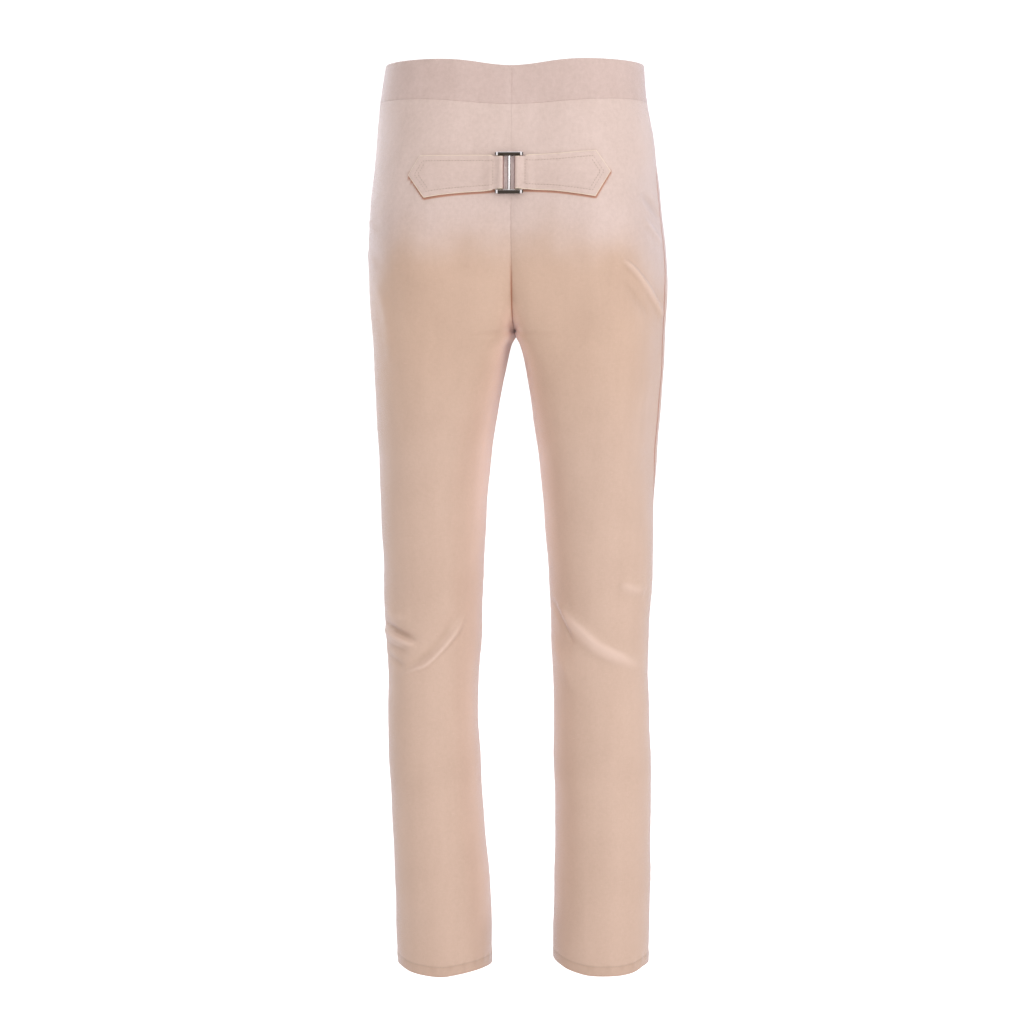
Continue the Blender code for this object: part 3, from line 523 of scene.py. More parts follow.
def leg_edges(leg, face, drop):
    """A section's outer and inner edge, its side seam's place, and its inner edge smoothed."""
    outer = SECTIONS.read(leg + "_outer", drop)
    inner = SECTIONS.read(leg + "_inner", FORK.read("seam_drop", drop))
    root = np.mean([SECTIONS.read(leg + "_inner", drop + step) for step in ROOT_STEPS], axis=0)
    return outer, np.maximum(inner, PANEL_GAP / 2), face * SECTIONS.read(leg + "_side", drop), root


def hem_rise(leg, face, u):
    """How much higher the hem is there: as the table has it behind, evenly in front."""
    if face == BACK:
        return HEM.read(leg, u)
    return HEM.read(leg, 0.0) + (HEM.read(leg, 1.0) - HEM.read(leg, 0.0)) * ease(u)


def surface(leg, face, drop, u):
    """Points of the smooth garment. u runs from the centre or inseam to the side seam."""
    drop, u = np.broadcast_arrays(np.asarray(drop, float), np.asarray(u, float))
    x, y = plan_point(leg, face, drop, u)
    seam_drop = FORK.read("seam_drop", drop)
    level = seam_drop + (drop - seam_drop) * ease(u)
    if face == BACK:
        level = level + back_dip(x, drop, u)
    level = level - hem_rise(leg, face, u) * between(drop, HEM_TURN_DROP, HEM_DROP)
    return np.stack([SIGNS[leg] * x, face * y, WAIST_SEAM_Z - level], axis=-1)


def surface_normal(leg, face, drop, u):
    """Directions out of the smooth garment, away from the wearer."""
    along = surface(leg, face, drop, np.minimum(u + STEP, 1.0))
    along = along - surface(leg, face, drop, np.maximum(u - STEP, 0.0))
    down = surface(leg, face, np.minimum(drop + STEP, HEM_DROP), u)
    down = down - surface(leg, face, np.maximum(drop - STEP, -BAND_HEIGHT), u)
    return unit(np.cross(along, down)) * (face * SIGNS[leg])


def wall_normal(leg, face, drop, u):
    """Directions of a wall's thickness: the cloth's normal, made level at the waist seam."""
    normal = surface_normal(leg, face, drop, u)
    normal[..., 2] *= ease(np.broadcast_to(drop, normal.shape[:-1]) / LEVEL_DROP)
    return unit(normal)


def find_share(leg, face, x, z):
    """Drop and share of the smooth garment's point at a distance from the centre plane and a z."""
    drop = WAIST_SEAM_Z - z
    for _ in range(LEVEL_ROUNDS):
        low = np.zeros_like(drop)
        high = np.ones_like(drop)
        for _ in range(HALVINGS):
            middle = (low + high) / 2
            short = plan_point(leg, face, drop, middle)[0] < x
            low = np.where(short, middle, low)
            high = np.where(short, high, middle)
        drop = drop + surface(leg, face, drop, middle)[..., 2] - z
    return drop, middle


def place_on_surface(face, x, z):
    """Points and normals of the smooth garment where lines square to the face meet it."""
    x, z = np.broadcast_arrays(np.asarray(x, float), np.asarray(z, float))
    found = {}
    for leg in SIGNS:
        drop, u = find_share(leg, face, np.abs(x), z)
        found[leg] = (surface(leg, face, drop, u), surface_normal(leg, face, drop, u))
    left = (x >= 0)[..., None]
    points = np.where(left, found["left"][0], found["right"][0])
    normals = np.where(left, found["left"][1], found["right"][1])
    return points, normals


def smooth_line(points, steps):
    """A line through points, rounded at each of them."""
    points = np.array(points, float)
    ends = np.vstack([2 * points[0] - points[1], points, 2 * points[-1] - points[-2]])
    pieces = []
    for a, b, c, d in zip(ends, ends[1:], ends[2:], ends[3:]):
        for t in np.arange(steps) / steps:
            square = 2 * a - 5 * b + 4 * c - d
            cube = 3 * b - a - 3 * c + d
            turn = (c - a) * t + square * t ** 2 + cube * t ** 3
            pieces.append(b + turn / 2)
    return np.array(pieces + [points[-1]])


def crease_lift(crease, places):
    """How far one crease pushes the cloth out at places in millimetres."""
    line = smooth_line(crease.line, CREASE_STEPS)
    reach = CREASE_REACH * max(crease.over, crease.under)
    low = line.min(axis=0) - reach
    high = line.max(axis=0) + reach
    near = np.all((places > low) & (places < high), axis=-1)
    lift = np.zeros(places.shape[:-1])
    if not near.any():
        return lift
    some = places[near]
    offsets = some[:, None, :] - line[None, :, :]
    distances = np.linalg.norm(offsets, axis=-1)
    nearest = distances.argmin(axis=1)
    picked = np.arange(len(some))
    width = np.where(offsets[picked, nearest, 1] < 0.0, crease.over, crease.under)
    share = nearest / (len(line) - 1)
    taper = 1.0 - np.abs(2.0 * share - 1.0) ** 3
    lift[near] = crease.lift / 1000 * taper * hump(distances[picked, nearest], width)
    return lift


def calm(face, points):
    """1 where the cloth is free, 0 where a tab or the fall lies on it."""
    half_width, top, bottom = COVERED[face]
    z = points[..., 2]
    beside = np.maximum(np.abs(points[..., 0]) - half_width, 0.0)
    above = np.maximum(np.maximum(z - top, bottom - z), 0.0)
    return ease(np.hypot(beside, above) / COVERED_CALM)


def unevenness(points):
    """Slow waves in worn cloth, which run on across every seam."""
    wave = sum(height * np.sin(points @ turns + start) for height, turns, start in WAVES)
    height, first, second = RIPPLE
    return wave + height * np.sin(points @ first) * np.sin(points @ second)


def edge_distances(leg, face, drop, u, points):
    """Distances to the centre or inseam, the side seam, the waist seam and the hem."""
    inner = np.linalg.norm(points - surface(leg, face, drop, 0.0 * u), axis=-1)
    side = np.linalg.norm(points - surface(leg, face, drop, 0.0 * u + 1.0), axis=-1)
    return inner, side, np.abs(drop), np.abs(HEM_DROP - drop)


def roll(distance, radius):
    """How far a folded edge turns in, as a share, at a distance from the edge."""
    near = 1.0 - np.clip(distance / radius, 0.0, 1.0)
    return 1.0 - np.sqrt(1.0 - near * near)


def held(points, normals, drop):
    """1 where the cloth of the two legs lies face to face at the fork, so that neither may move."""
    fork = between(drop, CROTCH_ROW + HELD_DROP, CROTCH_ROW)
    return np.abs(normals[..., 0]) * hump(points[..., 0], HELD_ACROSS) * fork


def cloth_skin(leg, face, drop, u):
    """Outer points of a panel with creases and seams, wall directions, and how deep each lies."""
    drop, u = np.broadcast_arrays(np.asarray(drop, float), np.asarray(u, float))
    points = surface(leg, face, drop, u)
    normals = wall_normal(leg, face, drop, u)
    inner, side, waist, hem = edge_distances(leg, face, drop, u, points)
    seams = np.minimum(inner, side)
    free = calm(face, points) * ease(waist / WAIST_CALM)
    places = np.stack([np.abs(points[..., 0]), WAIST_SEAM_Z - points[..., 2]], axis=-1) * 1000
    creases = np.zeros(points.shape[:-1])
    for crease in CREASES[leg, face]:
        creases += settings().crease_depth * crease_lift(crease, places)
    creases *= ease(seams / SEAM_CALM)
    height = points[..., 2]
    sunk = 0.25 + 0.75 * between(height, SEAM_FADE_Z, SEAM_FADE_Z - SEAM_FADE)
    pucker = np.sin(height * 430 + 2 * np.sin(height * 61))
    hem_pucker = np.sin(points[..., 0] * 310 + points[..., 1] * 270)
    seam_lift = ridges(
        (0.00010 * pucker, seams, 0.004, 0.005),
        (-0.00028 * sunk, seams, 0.0, 0.0016),
        (0.00018, seams, 0.0, 0.010))
    hem_lift = 0.00030 * between(hem, HEM_DEPTH + 0.003, HEM_DEPTH) + ridges(
        (-0.00045, hem, HEM_DEPTH, 0.0011),
        (0.00034 * hem_pucker, hem, HEM_DEPTH, 0.006))
    lift = free * (creases + unevenness(points) + seam_lift) + hem_lift
    points = points + normals * (lift * (1.0 - held(points, normals, drop)))[..., None]
    apart = (u >= 1.0) | ((u <= 0.0) & (drop >= CROTCH_ROW))
    points[..., 1] += np.where(apart, face * PANEL_GAP / 2, 0.0)
    # Depths for painted shade and highlight, with painted shade at the hem and the waist seam
    shading_depth = creases * free - 0.0016 * between(hem, HEM_DEPTH, HEM_DEPTH - 0.0010) + ridges(
        (-0.0020, hem, HEM_DEPTH, 0.0011),
        (-0.0009 * np.maximum(hem_pucker, 0.0), hem, HEM_DEPTH, 0.006),
        (-0.0004, waist, 0.0, 0.004))
    return points, normals, shading_depth


def add_mesh(name, points, faces, marks, uvs):
    """A shown object from points, faces with four corners, marks and a UV map, shaded smooth."""
    mesh = bpy.data.meshes.new(name)
    mesh.vertices.add(len(points))
    mesh.vertices.foreach_set("co", np.ascontiguousarray(points, np.float32).ravel())
    faces = np.ascontiguousarray(faces, np.int32)
    mesh.loops.add(faces.size)
    mesh.loops.foreach_set("vertex_index", faces.ravel())
    mesh.polygons.add(len(faces))
    mesh.polygons.foreach_set("loop_start", np.arange(len(faces), dtype=np.int32) * faces.shape[1])
    mesh.update(calc_edges=True)
    layer = mesh.uv_layers.new(name="cloth")
    layer.data.foreach_set("uv", np.ascontiguousarray(uvs[faces.ravel()], np.float32).ravel())
    for mark, values in marks.items():
        layer = mesh.attributes.new(mark, "FLOAT", "POINT")
        layer.data.foreach_set("value", np.ascontiguousarray(values, np.float32))
    mesh.shade_smooth()
    item = bpy.data.objects.new(name, mesh)
    bpy.context.scene.collection.objects.link(item)
    return item


def add_wall(name, outer, inner, marks, uvs, turned):
    """Close a wall between an outer and an inner grid of points, rows by columns."""
    rows, columns = outer.shape[:2]
    count = rows * columns
    index = np.arange(count).reshape(rows, columns)
    a, b = index[:-1, :-1].ravel(), index[:-1, 1:].ravel()
    c, d = index[1:, 1:].ravel(), index[1:, :-1].ravel()
    skin = np.stack([a, b, c, d], axis=1)
    lining = np.stack([d, c, b, a], axis=1) + count
    rim = np.concatenate([index[0, :], index[1:, -1], index[-1, -2::-1], index[-2:0:-1, 0]])
    after = np.roll(rim, -1)
    edge = np.stack([after, rim, rim + count, after + count], axis=1)
    faces = np.concatenate([skin, lining, edge])
    if turned:
        faces = faces[:, ::-1]
    points = np.concatenate([outer.reshape(-1, 3), inner.reshape(-1, 3)])
    marks = {mark: np.tile(values.ravel(), 2) for mark, values in marks.items()}
    uvs = np.concatenate([uvs.reshape(-1, 2), uvs.reshape(-1, 2)])
    return add_mesh(name, points, faces, marks, uvs)


def across_lengths(points):
    """Lengths along each row of a grid, from its first column."""
    steps = np.linalg.norm(np.diff(points, axis=1), axis=-1)
    return np.concatenate([np.zeros((len(points), 1)), np.cumsum(steps, axis=1)], axis=1)


def panel_drops():
    """Drops of a panel's rows, from just under the waist seam to the hem."""
    drops = [PANEL_GAP / 2]
    for end, steps in ROW_BANDS:
        drops += list(np.linspace(drops[-1], end, steps + 1)[1:])
    return np.array(drops)


def closer_ends(edge, length, count):
    """Places along a length: those of an edge at both ends, and even steps between."""
    edge = np.array(edge)
    middle = np.linspace(edge[-1], length - edge[-1], count + 1)
    return np.concatenate([edge[:-1], middle, length - edge[-2::-1]])


def dress(item, finish, node=None):
    """Give a piece its finish, and tell the frame its body and what it stands for."""
    item.data.materials.clear()
    item.data.materials.append(finish)
    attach(item, "root")
    if node:
        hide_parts(node)


def dress_cloth(item, slot, node):
    """The same for a piece of cloth."""
    dress(item, cloth_finish(slot), node)


def seam_and_shadow_marks(leg, face, points, distances):
    """Painted shade in the seams that show, at the hem, and as a shadow right under the tab."""
    inner, side, _, hem = distances
    height = points[..., 2]
    shade = line_shade(side, *SIDE_SHADE) * tucked(WAIST_SEAM_Z - height) * (SIDE_TUCK[leg] > 0.0)
    shade = np.maximum(shade, line_shade(hem, *HEM_SHADE))
    if face == FRONT:
        return shade
    centre = line_shade(inner, *CENTRE_SHADE) * between(height, *CENTRE_SHADE_START)
    # Painted shadow under the tab's lower edge
    lower_edge = tab_outline(TABS["tab_" + leg])[:8]
    away = line_distance(np.stack([np.abs(points[..., 0]), height], axis=-1), lower_edge)
    tab_shadow = TAB_SHADE * between(away, *TAB_SHADE_REACH)
    return np.maximum.reduce([shade, centre, tab_shadow])


def line_shade(distance, strength, width):
    """Shade beside a line, at a distance from it."""
    return strength * hump(distance, width)


def painted_inseam_light(sign, points):
    """Painted light in the shade at the fork, along the inside leg and behind the buckle."""
    x, y, height = points[..., 0], points[..., 1], points[..., 2]
    across = np.abs(x - (x[:, :1] if sign > 0 else x[:, -1:]))
    leg = between(height, *INSEAM_LIGHT_LEG)
    share = between(height, *INSEAM_LIGHT_START) * between(height, *INSEAM_LIGHT_END)
    share = share * (1.0 - 0.15 * leg - 0.48 * between(height, *INSEAM_LIGHT_CALF))
    inseam_light = share * hump(across, INSEAM_LIGHT_WIDTH + INSEAM_LIGHT_WIDENING * leg)
    # Painted light on the seat behind the buckle
    behind = (height < BUCKLE_TOP) & (height > BUCKLE_BOTTOM) & (y > 0.0)
    return np.maximum(inseam_light, behind * between(np.abs(x - BUCKLE_X), *LIGHT_BEHIND_BUCKLE))


def make_panel(leg, face):
    """One leg panel with its creases, rolled seams and turned-up hem."""
    sign = SIGNS[leg]
    thickness = settings().cloth_thickness
    drops = panel_drops()[:, None]
    columns = BACK_COLUMNS if face == BACK else FRONT_COLUMNS
    shares = closer_ends(PANEL_EDGE, 1.0, columns)[::sign][None, :]
    outer, normals, shading_depths = cloth_skin(leg, face, drops, shares)
    drops, shares = np.broadcast_arrays(drops, shares)
    distances = edge_distances(leg, face, drops, shares, surface(leg, face, drops, shares))
    sunk = 0.3 + 0.7 * between(outer[..., 2], SEAM_FADE_Z, SEAM_FADE_Z - SEAM_FADE)
    turned_in = roll(np.minimum.reduce(distances), ROLL_RADIUS) * thickness * ROLL_DEPTH * sunk
    turned_in = turned_in * (1.0 - held(outer, normals, drops))
    doubled = HEM_EXTRA * between(distances[3], HEM_DEPTH + 0.001, HEM_DEPTH - 0.001)
    inner = outer - normals * (thickness + doubled - turned_in)[..., None]
    outer = outer - normals * turned_in[..., None]
    along = across_lengths(outer)
    if sign > 0:
        along = along[:, -1:] - along
    uvs = np.stack([along, -outer[..., 2]], axis=-1)
    marks = {
        "depth": shading_depths,
        # Painted shade in the seams and at the hem, and a painted shadow under the tab
        "seam": seam_and_shadow_marks(leg, face, outer, distances),
        # Painted light near the fork, along the inseam and behind the buckle
        "inside": painted_inseam_light(sign, outer),
    }
    side = face_name(face)
    item = add_wall(f"{side}_{leg}_cloth", outer, inner, marks, uvs, face == FRONT)
    dress_cloth(item, "trouser_cloth", f"{side}_{leg}")


def rounded_wall(
        name, middle, normals, thickness, edge, relief, uvs, turned, roundness=0.8, **more):
    """A wall about a grid of middle points, its edges rounded and its outer side in relief."""
    half = thickness / 2 * (1.0 - roundness * roll(edge, thickness * 0.6))
    outer = middle + normals * (half + relief)[..., None]
    inner = middle - normals * half[..., None]
    # The depth drives painted shade and highlight, and the rim a painted highlight on tab edges
    marks = {"depth": relief * 1.6, "rim": hump(edge, 0.0009), **more}
    return add_wall(name, outer, inner, marks, uvs, turned)


def make_band(leg):
    """One half of the waistband, from the centre back round the side to the centre front."""
    thickness = settings().band_thickness
    length = BAND_HEIGHT - PANEL_GAP / 2
    down = closer_ends(DOUBLED_EDGE, length, BAND_ROWS)[:, None]
    drops = down - BAND_HEIGHT
    shares = closer_ends(PANEL_EDGE, 1.0, FRONT_COLUMNS)
    grids = []
    for face, row in ((BACK, shares), (FRONT, shares[-2::-1])):
        grids.append((surface(leg, face, drops, row), wall_normal(leg, face, drops, row)))
    points, normals = (np.concatenate(parts, axis=1) for parts in zip(*grids))
    along = across_lengths(points)
    ends = np.minimum(along, along[:, -1:] - along)
    edge = np.minimum(ends, np.minimum(down, length - down))
    seam = length - down
    waves = np.sin(along * 118 + 1.3 * SIGNS[leg]) * np.sin(down / length * math.pi)
    pucker = np.sin(along * 620 + 2 * np.sin(along * 90))
    relief = 0.00022 * waves + ridges(
        (-0.00012, ends, 0.0, 0.0020),
        (0.00014 * pucker, seam, 0.0015, 0.0035),
        (0.00030, seam, 0.0030, 0.0030),
        (-0.00012, down, 0.0035, 0.0012))
    middle = points - normals * (BAND_INSET + thickness / 2)
    uvs = np.stack([along, np.broadcast_to(down, along.shape)], axis=-1)
    roundness = np.where(np.minimum(ends, seam) < down, 0.12, 0.8)
    name = f"waistband_{leg}"
    item = rounded_wall(
        name + "_cloth", middle, normals, thickness, edge, relief, uvs, leg == "right", roundness)
    dress_cloth(item, "waistband_cloth", name)


def front_point(x, z):
    """Points of the front under the fall, and the level directions out of it."""
    points, normals = place_on_surface(FRONT, x, z)
    normals[..., 0] = np.where(np.abs(x) > STEP, normals[..., 0], 0.0)
    normals[..., 2] = 0.0
    points[..., 0] = x
    return points, unit(normals)


def fall_skin(across, down):
    """Middle points and directions of the fall, from shares across and down it."""
    buttons = np.cos(across * math.pi * FALL_HALF_TOP / BUTTON_X["fall_button_left"])
    top = FALL_TOP - FALL_SAG * (1.0 - np.abs(buttons))
    return front_point(fall_half(down) * across, top + (FALL_BOTTOM - top) * down)


def fall_half(down):
    """Half the fall's width, at a share down it."""
    return FALL_HALF_TOP + (FALL_HALF_BOTTOM - FALL_HALF_TOP) * down


def fall_relief(points, across, down):
    """Height of the fall's outer side over its middle layer, and distances to its edges."""
    x, z = points[..., 0], points[..., 2]
    side = (1.0 - np.abs(across)) * fall_half(down)
    edge = np.minimum(side, np.minimum(down, 1.0 - down) * FALL_HEIGHT)
    relief = 0.00030 * np.sin(46 * x + 31 * z) * np.sin(38 * z - 12 * x + 0.7) + ridges(
        (-0.00030, np.minimum(side, down * FALL_HEIGHT), FALL_STITCH, 0.0010),
        (0.00012 * np.sin(z * 420 + x * 380), edge, FALL_STITCH, 0.004),
        *((-0.00035, np.hypot(x - place, z - BUTTON_Z), 0.0, 0.012) for place in BUTTON_X.values()))
    return relief, edge


def make_fall():
    """The fall: a flap over the middle of both front panels, buttoned up on the waistband."""
    thickness = settings().fall_thickness
    width = 2 * FALL_HALF_TOP
    across = (closer_ends(DOUBLED_EDGE, width, FALL_COLUMNS) / FALL_HALF_TOP - 1.0)[None, :]
    down = (closer_ends(DOUBLED_EDGE, FALL_HEIGHT, FALL_ROWS) / FALL_HEIGHT)[:, None]
    across, down = np.broadcast_arrays(across, down)
    points, out = fall_skin(across, down)
    relief, edge = fall_relief(points, across, down)
    middle = points + out * (FALL_LIFT + thickness / 2)
    uvs = np.stack([across * FALL_HALF_TOP, down * FALL_HEIGHT], axis=-1)
    item = rounded_wall("fall_cloth", middle, out, thickness, edge, relief, uvs, True)
    dress_cloth(item, "trouser_cloth", "fall")


def seat_depths(x):
    """Depths of the seat at the heights of the buckle's bottom and top bars."""
    points, _ = place_on_surface(BACK, np.array([x, x]), np.array([BUCKLE_BOTTOM, BUCKLE_TOP]))
    return points[:, 1]


def chord_depth(x, z):
    """Depths of the straight line up the seat between the bars."""
    points_low, _ = place_on_surface(BACK, x, np.full_like(x, BUCKLE_BOTTOM))
    points_high, _ = place_on_surface(BACK, x, np.full_like(x, BUCKLE_TOP))
    share = (z - BUCKLE_BOTTOM) / (BUCKLE_TOP - BUCKLE_BOTTOM)
    return points_low[..., 1] + (points_high[..., 1] - points_low[..., 1]) * share


def rod_height():
    """Height of the rods' axes over the seat, with a tab's return layer under them."""
    return CHORD_LIFT + 2 * SEAM_GAP + settings().tab_thickness + ROD_RADIUS


def buckle_frame():
    """Origin and axes of the buckle: up along the rods, and out away from the seat."""
    rods = (BUCKLE_X + ROD_SPACING, BUCKLE_X - ROD_SPACING)
    low, high = np.max([seat_depths(x) for x in rods], axis=0)
    up = unit(np.array([0.0, high - low, BUCKLE_TOP - BUCKLE_BOTTOM]))
    out = np.array([0.0, up[2], -up[1]])
    middle = np.array([BUCKLE_X, (low + high) / 2, (BUCKLE_TOP + BUCKLE_BOTTOM) / 2])
    return middle + out * rod_height(), up, out


def rod_place(leg):
    """Distance from the centre plane of the outer rod that a leg's tab goes round."""
    return abs(BUCKLE_X + SIGNS[leg] * ROD_SPACING)


def tab_base(tab, x, z):
    """Seat points under a tab, on the buckle's plane near the rod, and the directions there."""
    sign = SIGNS[tab.leg]
    rod_x = rod_place(tab.leg)
    points, normals = place_on_surface(BACK, sign * x, z)
    origin, up, out = buckle_frame()
    plane = origin - out * (rod_height() - CHORD_LIFT)
    depth = plane[1] + up[1] * (z - plane[2]) / up[2]
    depth = depth + chord_depth(sign * x, z) - chord_depth(np.full_like(x, sign * rod_x), z)
    straight = np.stack([sign * x, depth, z], axis=-1)
    far = between(x - rod_x, RETURN_LENGTH, FLATTEN_END)[..., None]
    return straight + (points - straight) * far, unit(out + (normals - out) * far)


def layer_height(distance):
    """Height of a tab's middle over the seat, at a distance from the rod."""
    cloth = settings().tab_thickness
    loop_top = SEAM_GAP + cloth / 2 + 2 * (ROD_RADIUS + SEAM_GAP + cloth / 2)
    doubled = 2 * SEAM_GAP + 1.5 * cloth
    single = TAB_LIFT + cloth / 2
    height = loop_top + (doubled - loop_top) * ease(distance / (RETURN_LENGTH * 0.8))
    past = between(distance, RETURN_LENGTH + 0.001, RETURN_LENGTH + 0.011)
    return height + (single - doubled) * past


def tab_outline(tab):
    """Corners of a tab in the plane of x and z, from its inner bottom corner round its point."""
    rod_x = rod_place(tab.leg)
    bottom, top = tab.edges.read("bottom", tab.tip), tab.edges.read("top", tab.tip)
    corners = [(x, tab.edges.read("bottom", x)) for x in np.linspace(rod_x, tab.bottom_corner, 7)]
    corners.append((tab.tip, bottom + (top - bottom) * TAB_TIP))
    corners += [(x, tab.edges.read("top", x)) for x in np.linspace(tab.top_corner, rod_x, 7)]
    return np.array(corners, float)


def line_distance(places, line):
    """Distances of places to a line of straight pieces, in a plane."""
    best = np.full(places.shape[:-1], np.inf)
    for a, b in zip(line, line[1:]):
        along = b - a
        t = np.clip(((places - a) @ along) / (along @ along), 0.0, 1.0)
        best = np.minimum(best, np.linalg.norm(places - a - t[..., None] * along, axis=-1))
    return best


def inset_line(line, distance):
    """A line moved to its left by a distance, with its corners kept sharp."""
    along = unit(np.diff(line, axis=0))
    left = np.stack([-along[:, 1], along[:, 0]], axis=1)
    before = np.vstack([left[:1], left])
    after = np.vstack([left, left[-1:]])
    share = 1.0 + np.sum(before * after, axis=1, keepdims=True)
    return line + distance * (before + after) / share


def tab_relief(places, outline):
    """Height of a tab's outer side over its middle layer, and distances to its sewn edge."""
    edge = line_distance(places, outline)
    x, z = places[..., 0], places[..., 1]
    relief = 0.00014 * np.sin(x * 130) * np.sin(z * 170 + 1.0) + ridges(
        (0.00012, edge, 0.0032, 0.0022),
        (-0.00028, edge, TAB_STITCH, 0.0010),
        (0.00010 * np.sin(x * 560 + z * 240), edge, TAB_STITCH, 0.0030))
    return relief, edge


def turn_round_rod(sign, base, up):
    """Middle points and directions of a tab turning back round the rod, and painted shade there."""
    radius = ROD_RADIUS + SEAM_GAP + settings().tab_thickness / 2
    centre = base + up * (radius + SEAM_GAP + settings().tab_thickness / 2)
    inward = np.array([-sign, 0.0, 0.0])
    inward = unit(inward - up * (up @ inward)[:, None])
    angles = math.pi * np.arange(1, TURN_STEPS + 1) / TURN_STEPS
    spokes = up[:, None] * np.cos(angles)[:, None] + inward[:, None] * np.sin(angles)[:, None]
    return centre[:, None] + spokes * radius, spokes, ease((np.sin(angles) - 0.62) / 0.25)


def make_tab(name):
    """A half belt tab, lying on the seat and folded round the buckle's outer rod."""
    tab = TABS[name]
    sign = SIGNS[tab.leg]
    cloth = settings().tab_thickness
    rod_x = rod_place(tab.leg)
    v = np.array(TAB_ROWS)[:, None]
    end = np.interp(v, [0.0, TAB_TIP, 1.0], [tab.bottom_corner, tab.tip, tab.top_corner])
    x = rod_x + (end - rod_x) * np.array(TAB_COLUMNS)[None, ::-1]
    top = tab.edges.read("top", x)
    bottom = tab.edges.read("bottom", x)
    z = bottom + (top - bottom) * v
    base, normals = tab_base(tab, x, z)
    middle = base + normals * layer_height(x - rod_x)[..., None]
    loop, spokes, fold_shade = turn_round_rod(sign, base[:, -1], normals[:, -1])
    back_x = rod_x + RETURN_LENGTH * np.arange(1, RETURN_STEPS + 1) / RETURN_STEPS
    back_x, back_z = np.broadcast_arrays(back_x[None, :], z[:, -1:])
    back_base, back_normals = tab_base(tab, back_x, back_z)
    back = back_base + back_normals * (SEAM_GAP + cloth / 2)
    grid = np.concatenate([middle, loop, back], axis=1)
    directions = np.concatenate([normals, spokes, -back_normals], axis=1)
    relief, edge = tab_relief(np.stack([x, z], axis=-1), tab_outline(tab))
    relief[:, -6:] *= np.linspace(1.0, 0.0, 6)
    relief = np.pad(relief, ((0, 0), (0, TURN_STEPS + RETURN_STEPS)))
    sides = np.minimum(v, 1.0 - v) * (top - bottom)[:, -1:]
    past = np.minimum(sides, across_lengths(back)[:, ::-1])
    edge = np.concatenate([edge, np.repeat(sides, TURN_STEPS, axis=1), past], axis=1)
    heights = np.pad(z, ((0, 0), (0, TURN_STEPS + RETURN_STEPS)), mode="edge")
    uvs = np.stack([across_lengths(grid), heights], axis=-1)
    # Painted shade where the tab folds round the rod, in its seam mark
    seam = np.zeros_like(edge)
    seam[:, x.shape[1]:x.shape[1] + TURN_STEPS] = fold_shade
    item = rounded_wall(
        name + "_cloth", grid, directions, cloth, edge, relief, uvs, sign < 0, 0.45, seam=seam)
    dress_cloth(item, "tab_cloth", name)


def stitch_shape():
    """Points and faces of one stitch, lying along X with its top towards Z, one metre long."""
    stations = np.array([-0.5, -0.42, -0.2, 0.2, 0.42, 0.5])
    girths = np.array([0.25, 0.8, 1.0, 1.0, 0.8, 0.25])
    sides = 6
    angles = 2 * math.pi * np.arange(sides) / sides
    rings = [
        [(x, girth * math.cos(t), girth * math.sin(t)) for t in angles]
        for x, girth in zip(stations, girths)]
    faces = []
    for ring in range(len(stations) - 1):
        for side in range(sides):
            after = (side + 1) % sides
            low, high = ring * sides, (ring + 1) * sides
            faces.append((low + side, low + after, high + after, high + side))
    last = (len(stations) - 1) * sides
    faces += [(3, 2, 1, 0), (5, 4, 3, 0), (last, last + 1, last + 2, last + 3)]
    faces.append((last, last + 3, last + 4, last + 5))
    return np.array(rings).reshape(-1, 3), np.array(faces)


def stitch_frames(points, normals, pitch):
    """Middles, directions and normals of stitches at even steps along a line of close points."""
    steps = np.linalg.norm(np.diff(points, axis=0), axis=1)
    lengths = np.concatenate([[0.0], np.cumsum(steps)])
    count = max(int(lengths[-1] / pitch), 1)
    at = (np.arange(count) + 0.5) * lengths[-1] / count
    spread = pitch * 0.3

    def read(values, places):
        return np.stack([np.interp(places, lengths, values[:, axis]) for axis in range(3)], axis=1)

    along = unit(read(points, at + spread) - read(points, at - spread))
    middles = read(points, at)
    out = read(normals, at)
    return middles, along, unit(out - along * np.sum(out * along, axis=1, keepdims=True))


def lay_stitches(name, frames, length=None):
    """One object of stitches from middles, directions and normals, each stitch sunk at its ends."""
    values = settings()
    length = length or values.stitch_length
    girth = values.thread_width / 2
    shape, shape_faces = stitch_shape()
    middles, along, out = (np.concatenate(parts) for parts in zip(*frames))
    across = np.cross(out, along)
    jitter = np.sin(np.arange(len(middles)) * 12.9898) * 43758.5453
    jitter = jitter - np.floor(jitter) - 0.5
    along = unit(along + across * (0.10 * jitter)[:, None])
    across = np.cross(out, along)
    sink = girth * (0.45 - 2.6 * shape[:, 0] ** 2)
    points = middles[:, None] + along[:, None] * (shape[:, 0] * length)[None, :, None]
    points = points + across[:, None] * (shape[:, 1] * girth)[None, :, None]
    points = points + out[:, None] * (shape[:, 2] * girth * 0.8 + sink)[None, :, None]
    faces = shape_faces[None] + (np.arange(len(middles)) * len(shape))[:, None, None]
    uv = np.stack([shape[:, 0] * length, shape[:, 1] * girth], axis=1)
    uvs = np.tile(uv, (len(middles), 1))
    item = add_mesh(name, points.reshape(-1, 3), faces.reshape(-1, 4), {}, uvs)
    dress(item, thread_finish())


def hem_frames(leg):
    """Stitches of a hem, all round the leg."""
    shares = np.linspace(0.004, 0.996, 400)
    drops = np.full_like(shares, HEM_DROP - HEM_DEPTH)
    frames = []
    for face in (BACK, FRONT):
        points, normals, _ = cloth_skin(leg, face, drops, shares)
        frames.append(stitch_frames(points, normals, settings().stitch_pitch))
    return frames


